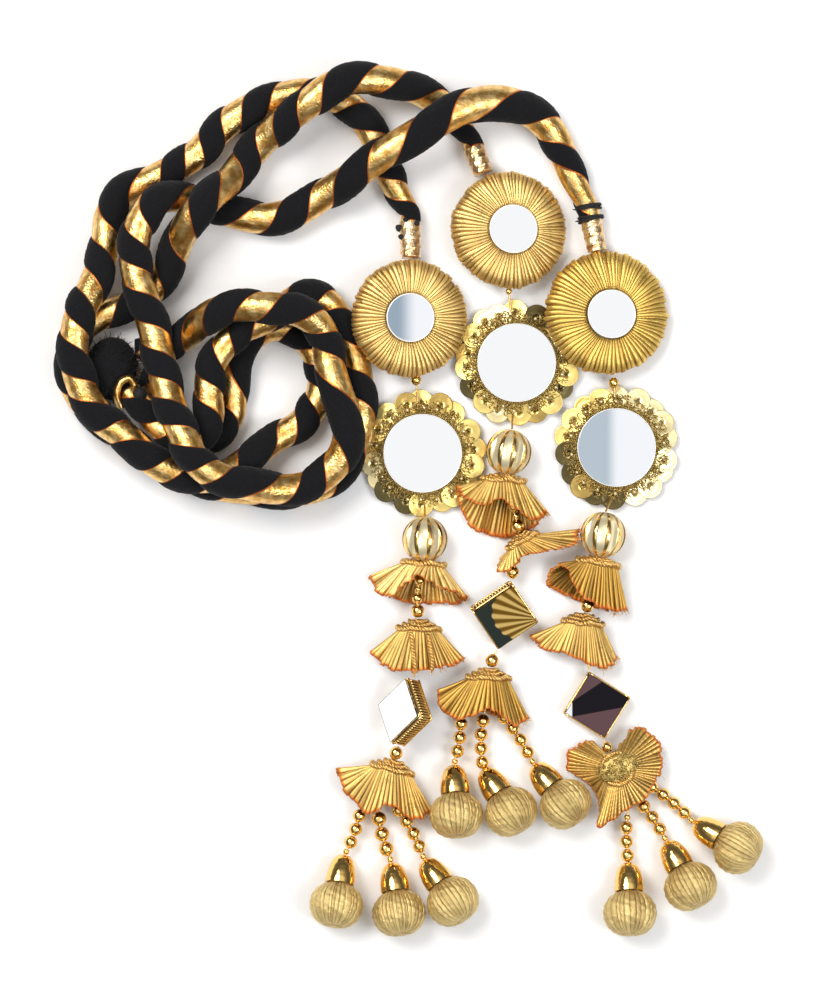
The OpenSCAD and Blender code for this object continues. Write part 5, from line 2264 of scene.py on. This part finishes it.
def dress_kept(nodes: dict[str, Piece]) -> None:
    """Gives every CAD node that stays its finish, by the longest start of its name.

    Args:
        nodes: the CAD nodes by name.
    """
    for name, made in nodes.items():
        for start in sorted(KEPT, key=len, reverse=True):
            if name.startswith(start):
                for slot in made.material_slots:
                    slot.material = KEPT[start].material()
                break


# Studio


@dataclass
class Studio:
    """Floor, light and camera of the photograph, in metres.

    Attributes:
        centre: place on the floor in the middle of the picture.
        frame_height: length of floor that the picture shows from bottom to top.
        camera_height: how far up the camera hangs.
        subject_height: height at which that length is measured.
        sensor: side of the camera's sensor, in millimetres.
        floor_half: half of the floor's side.
        floor_drop: how far the floor lies under the object.
        room: share of the way from straight down to straight up, and brightness of the room there.
    """

    centre: Pair = (-0.0052, 0.0174)
    frame_height: float = 0.43
    camera_height: float = 2.2
    subject_height: float = 0.008
    sensor: float = 36.0
    floor_half: float = 3.0
    floor_drop: float = 0.0002
    room: tuple[Pair, ...] = ((0.0, 0.5), (0.18, 0.16), (0.5, 0.1), (0.72, 0.3), (0.86, 0.95))

    def floor(self) -> Piece:
        """Lays a wide pale floor.

        Returns:
            The floor.
        """
        half = self.floor_half
        corners = [(-half, -half, 0), (half, -half, 0), (half, half, 0), (-half, half, 0)]
        mesh = bpy.data.meshes.new("floor")
        mesh.from_pydata(corners, [], [(0, 1, 2, 3)])
        mesh.materials.append(FLOOR.material())
        made = bpy.data.objects.new("floor", mesh)
        made.location.z = -self.floor_drop
        bpy.context.scene.collection.objects.link(made)
        return made

    def lamp(self, name: str, place: Triple, size: float, power: float, tone: Colour) -> None:
        """Hangs one square soft light that looks at the object.

        Args:
            name: its name.
            place: where it hangs.
            size: its side.
            power: in watts.
            tone: its colour.
        """
        light = bpy.data.lights.new(name, "AREA")
        light.shape = "SQUARE"
        light.size, light.energy, light.color = size, power, tone
        made = bpy.data.objects.new(name, light)
        made.location = place
        aim = np.array([*self.centre, 0.0]) - np.array(place)
        fall = math.acos(-aim[2] / np.linalg.norm(aim))
        made.rotation_euler = (fall, 0, math.atan2(aim[1], aim[0]) - math.pi / 2)
        bpy.context.scene.collection.objects.link(made)

    def sky(self) -> None:
        """White ceiling over a dim room, which polished metal shows as dark streaks."""
        world = bpy.data.worlds.new("room")
        world.use_nodes = True
        bpy.context.scene.world = world
        nodes, links = world.node_tree.nodes, world.node_tree.links
        place = nodes.new("ShaderNodeTexCoord")
        split = nodes.new("ShaderNodeSeparateXYZ")
        ramp = nodes.new("ShaderNodeValToRGB")
        links.new(place.outputs["Generated"], split.inputs[0])
        links.new(split.outputs["Z"], ramp.inputs[0])
        for extra in range(len(self.room) - 2):
            ramp.color_ramp.elements.new(0.1 * (extra + 1))
        for element, (where, tone) in zip(ramp.color_ramp.elements, self.room):
            element.position = where
            element.color = (tone, tone, tone * 1.02, 1)
        links.new(ramp.outputs[0], nodes["Background"].inputs["Color"])
        nodes["Background"].inputs["Strength"].default_value = 1.0

    def camera(self) -> None:
        """Camera straight above, with a long lens."""
        data = bpy.data.cameras.new("photo_camera")
        data.sensor_width = self.sensor
        data.sensor_fit = "VERTICAL"
        data.sensor_height = self.sensor
        data.lens = self.sensor * (self.camera_height - self.subject_height) / self.frame_height
        data.clip_end = 20.0
        made = bpy.data.objects.new("photo_camera", data)
        made.location = (*self.centre, self.camera_height)
        bpy.context.scene.collection.objects.link(made)
        bpy.context.scene.camera = made

    def build(self) -> None:
        """Sets up the whole studio."""
        self.camera()
        self.floor()
        self.sky()
        self.lamp("key_light", (-0.75, 0.7, 1.5), 0.9, 26.0, (1.0, 0.98, 0.95))
        self.lamp("fill_light", (0.9, -0.3, 1.3), 0.7, 12.0, (0.96, 0.98, 1.0))
        bpy.context.scene.view_settings.view_transform = "Standard"


def tassel(strand: Strand, nodes: dict[str, Piece]) -> list[Piece]:
    """Builds one cord with its tassel, all but the skirts.

    Args:
        strand: which of the three it is.
        nodes: the CAD nodes by name.

    Returns:
        Its pieces.
    """
    pieces = [Cord(strand, CORD_ROUTES[strand], CORD_LENGTHS[strand], NEAR_BANDS[strand]).build()]
    pieces += Stem(strand, *STEMS[strand]).build()
    pieces += Rosette(strand, *ROSETTES[strand]).build()
    pieces += Flower(strand, *FLOWERS[strand]).build()
    pieces.append(RibbedBead(strand, *RIBBED_BEADS[strand]).build())
    pieces.append(Diamond(strand, DIAMONDS[strand]).build())
    for number, (letter, place) in enumerate(zip("abc", DROPS[strand])):
        seed = FIRST_BALL_SEED + 3 * strand.value + number
        pieces.append(Ball(f"ball_{letter}_{strand.tag}", place, seed).build())
    pieces.append(SpunCaps(strand).build(nodes[f"bell_caps_{strand.tag}"]))
    return pieces


def main() -> None:
    """Builds the scene piece by piece."""
    logging.basicConfig(level=logging.INFO, format="%(message)s")
    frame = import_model()
    Studio().build()
    dress_kept(frame["nodes"])
    pieces: list[Piece] = []
    for strand in Strand:
        pieces += tassel(strand, frame["nodes"])
    for number, skirt in enumerate(SKIRTS):
        pieces += skirt.build(FIRST_SKIRT_SEED + number)
    pieces += Head().build()
    pieces.append(Boss().build())
    pieces += [TwistedEnd(*row).build() for row in TWISTED_ENDS]
    for piece in pieces:
        LOG.info("%s: %d faces", piece.name, len(piece.data.polygons))


if __name__ == "__main__":
    main()
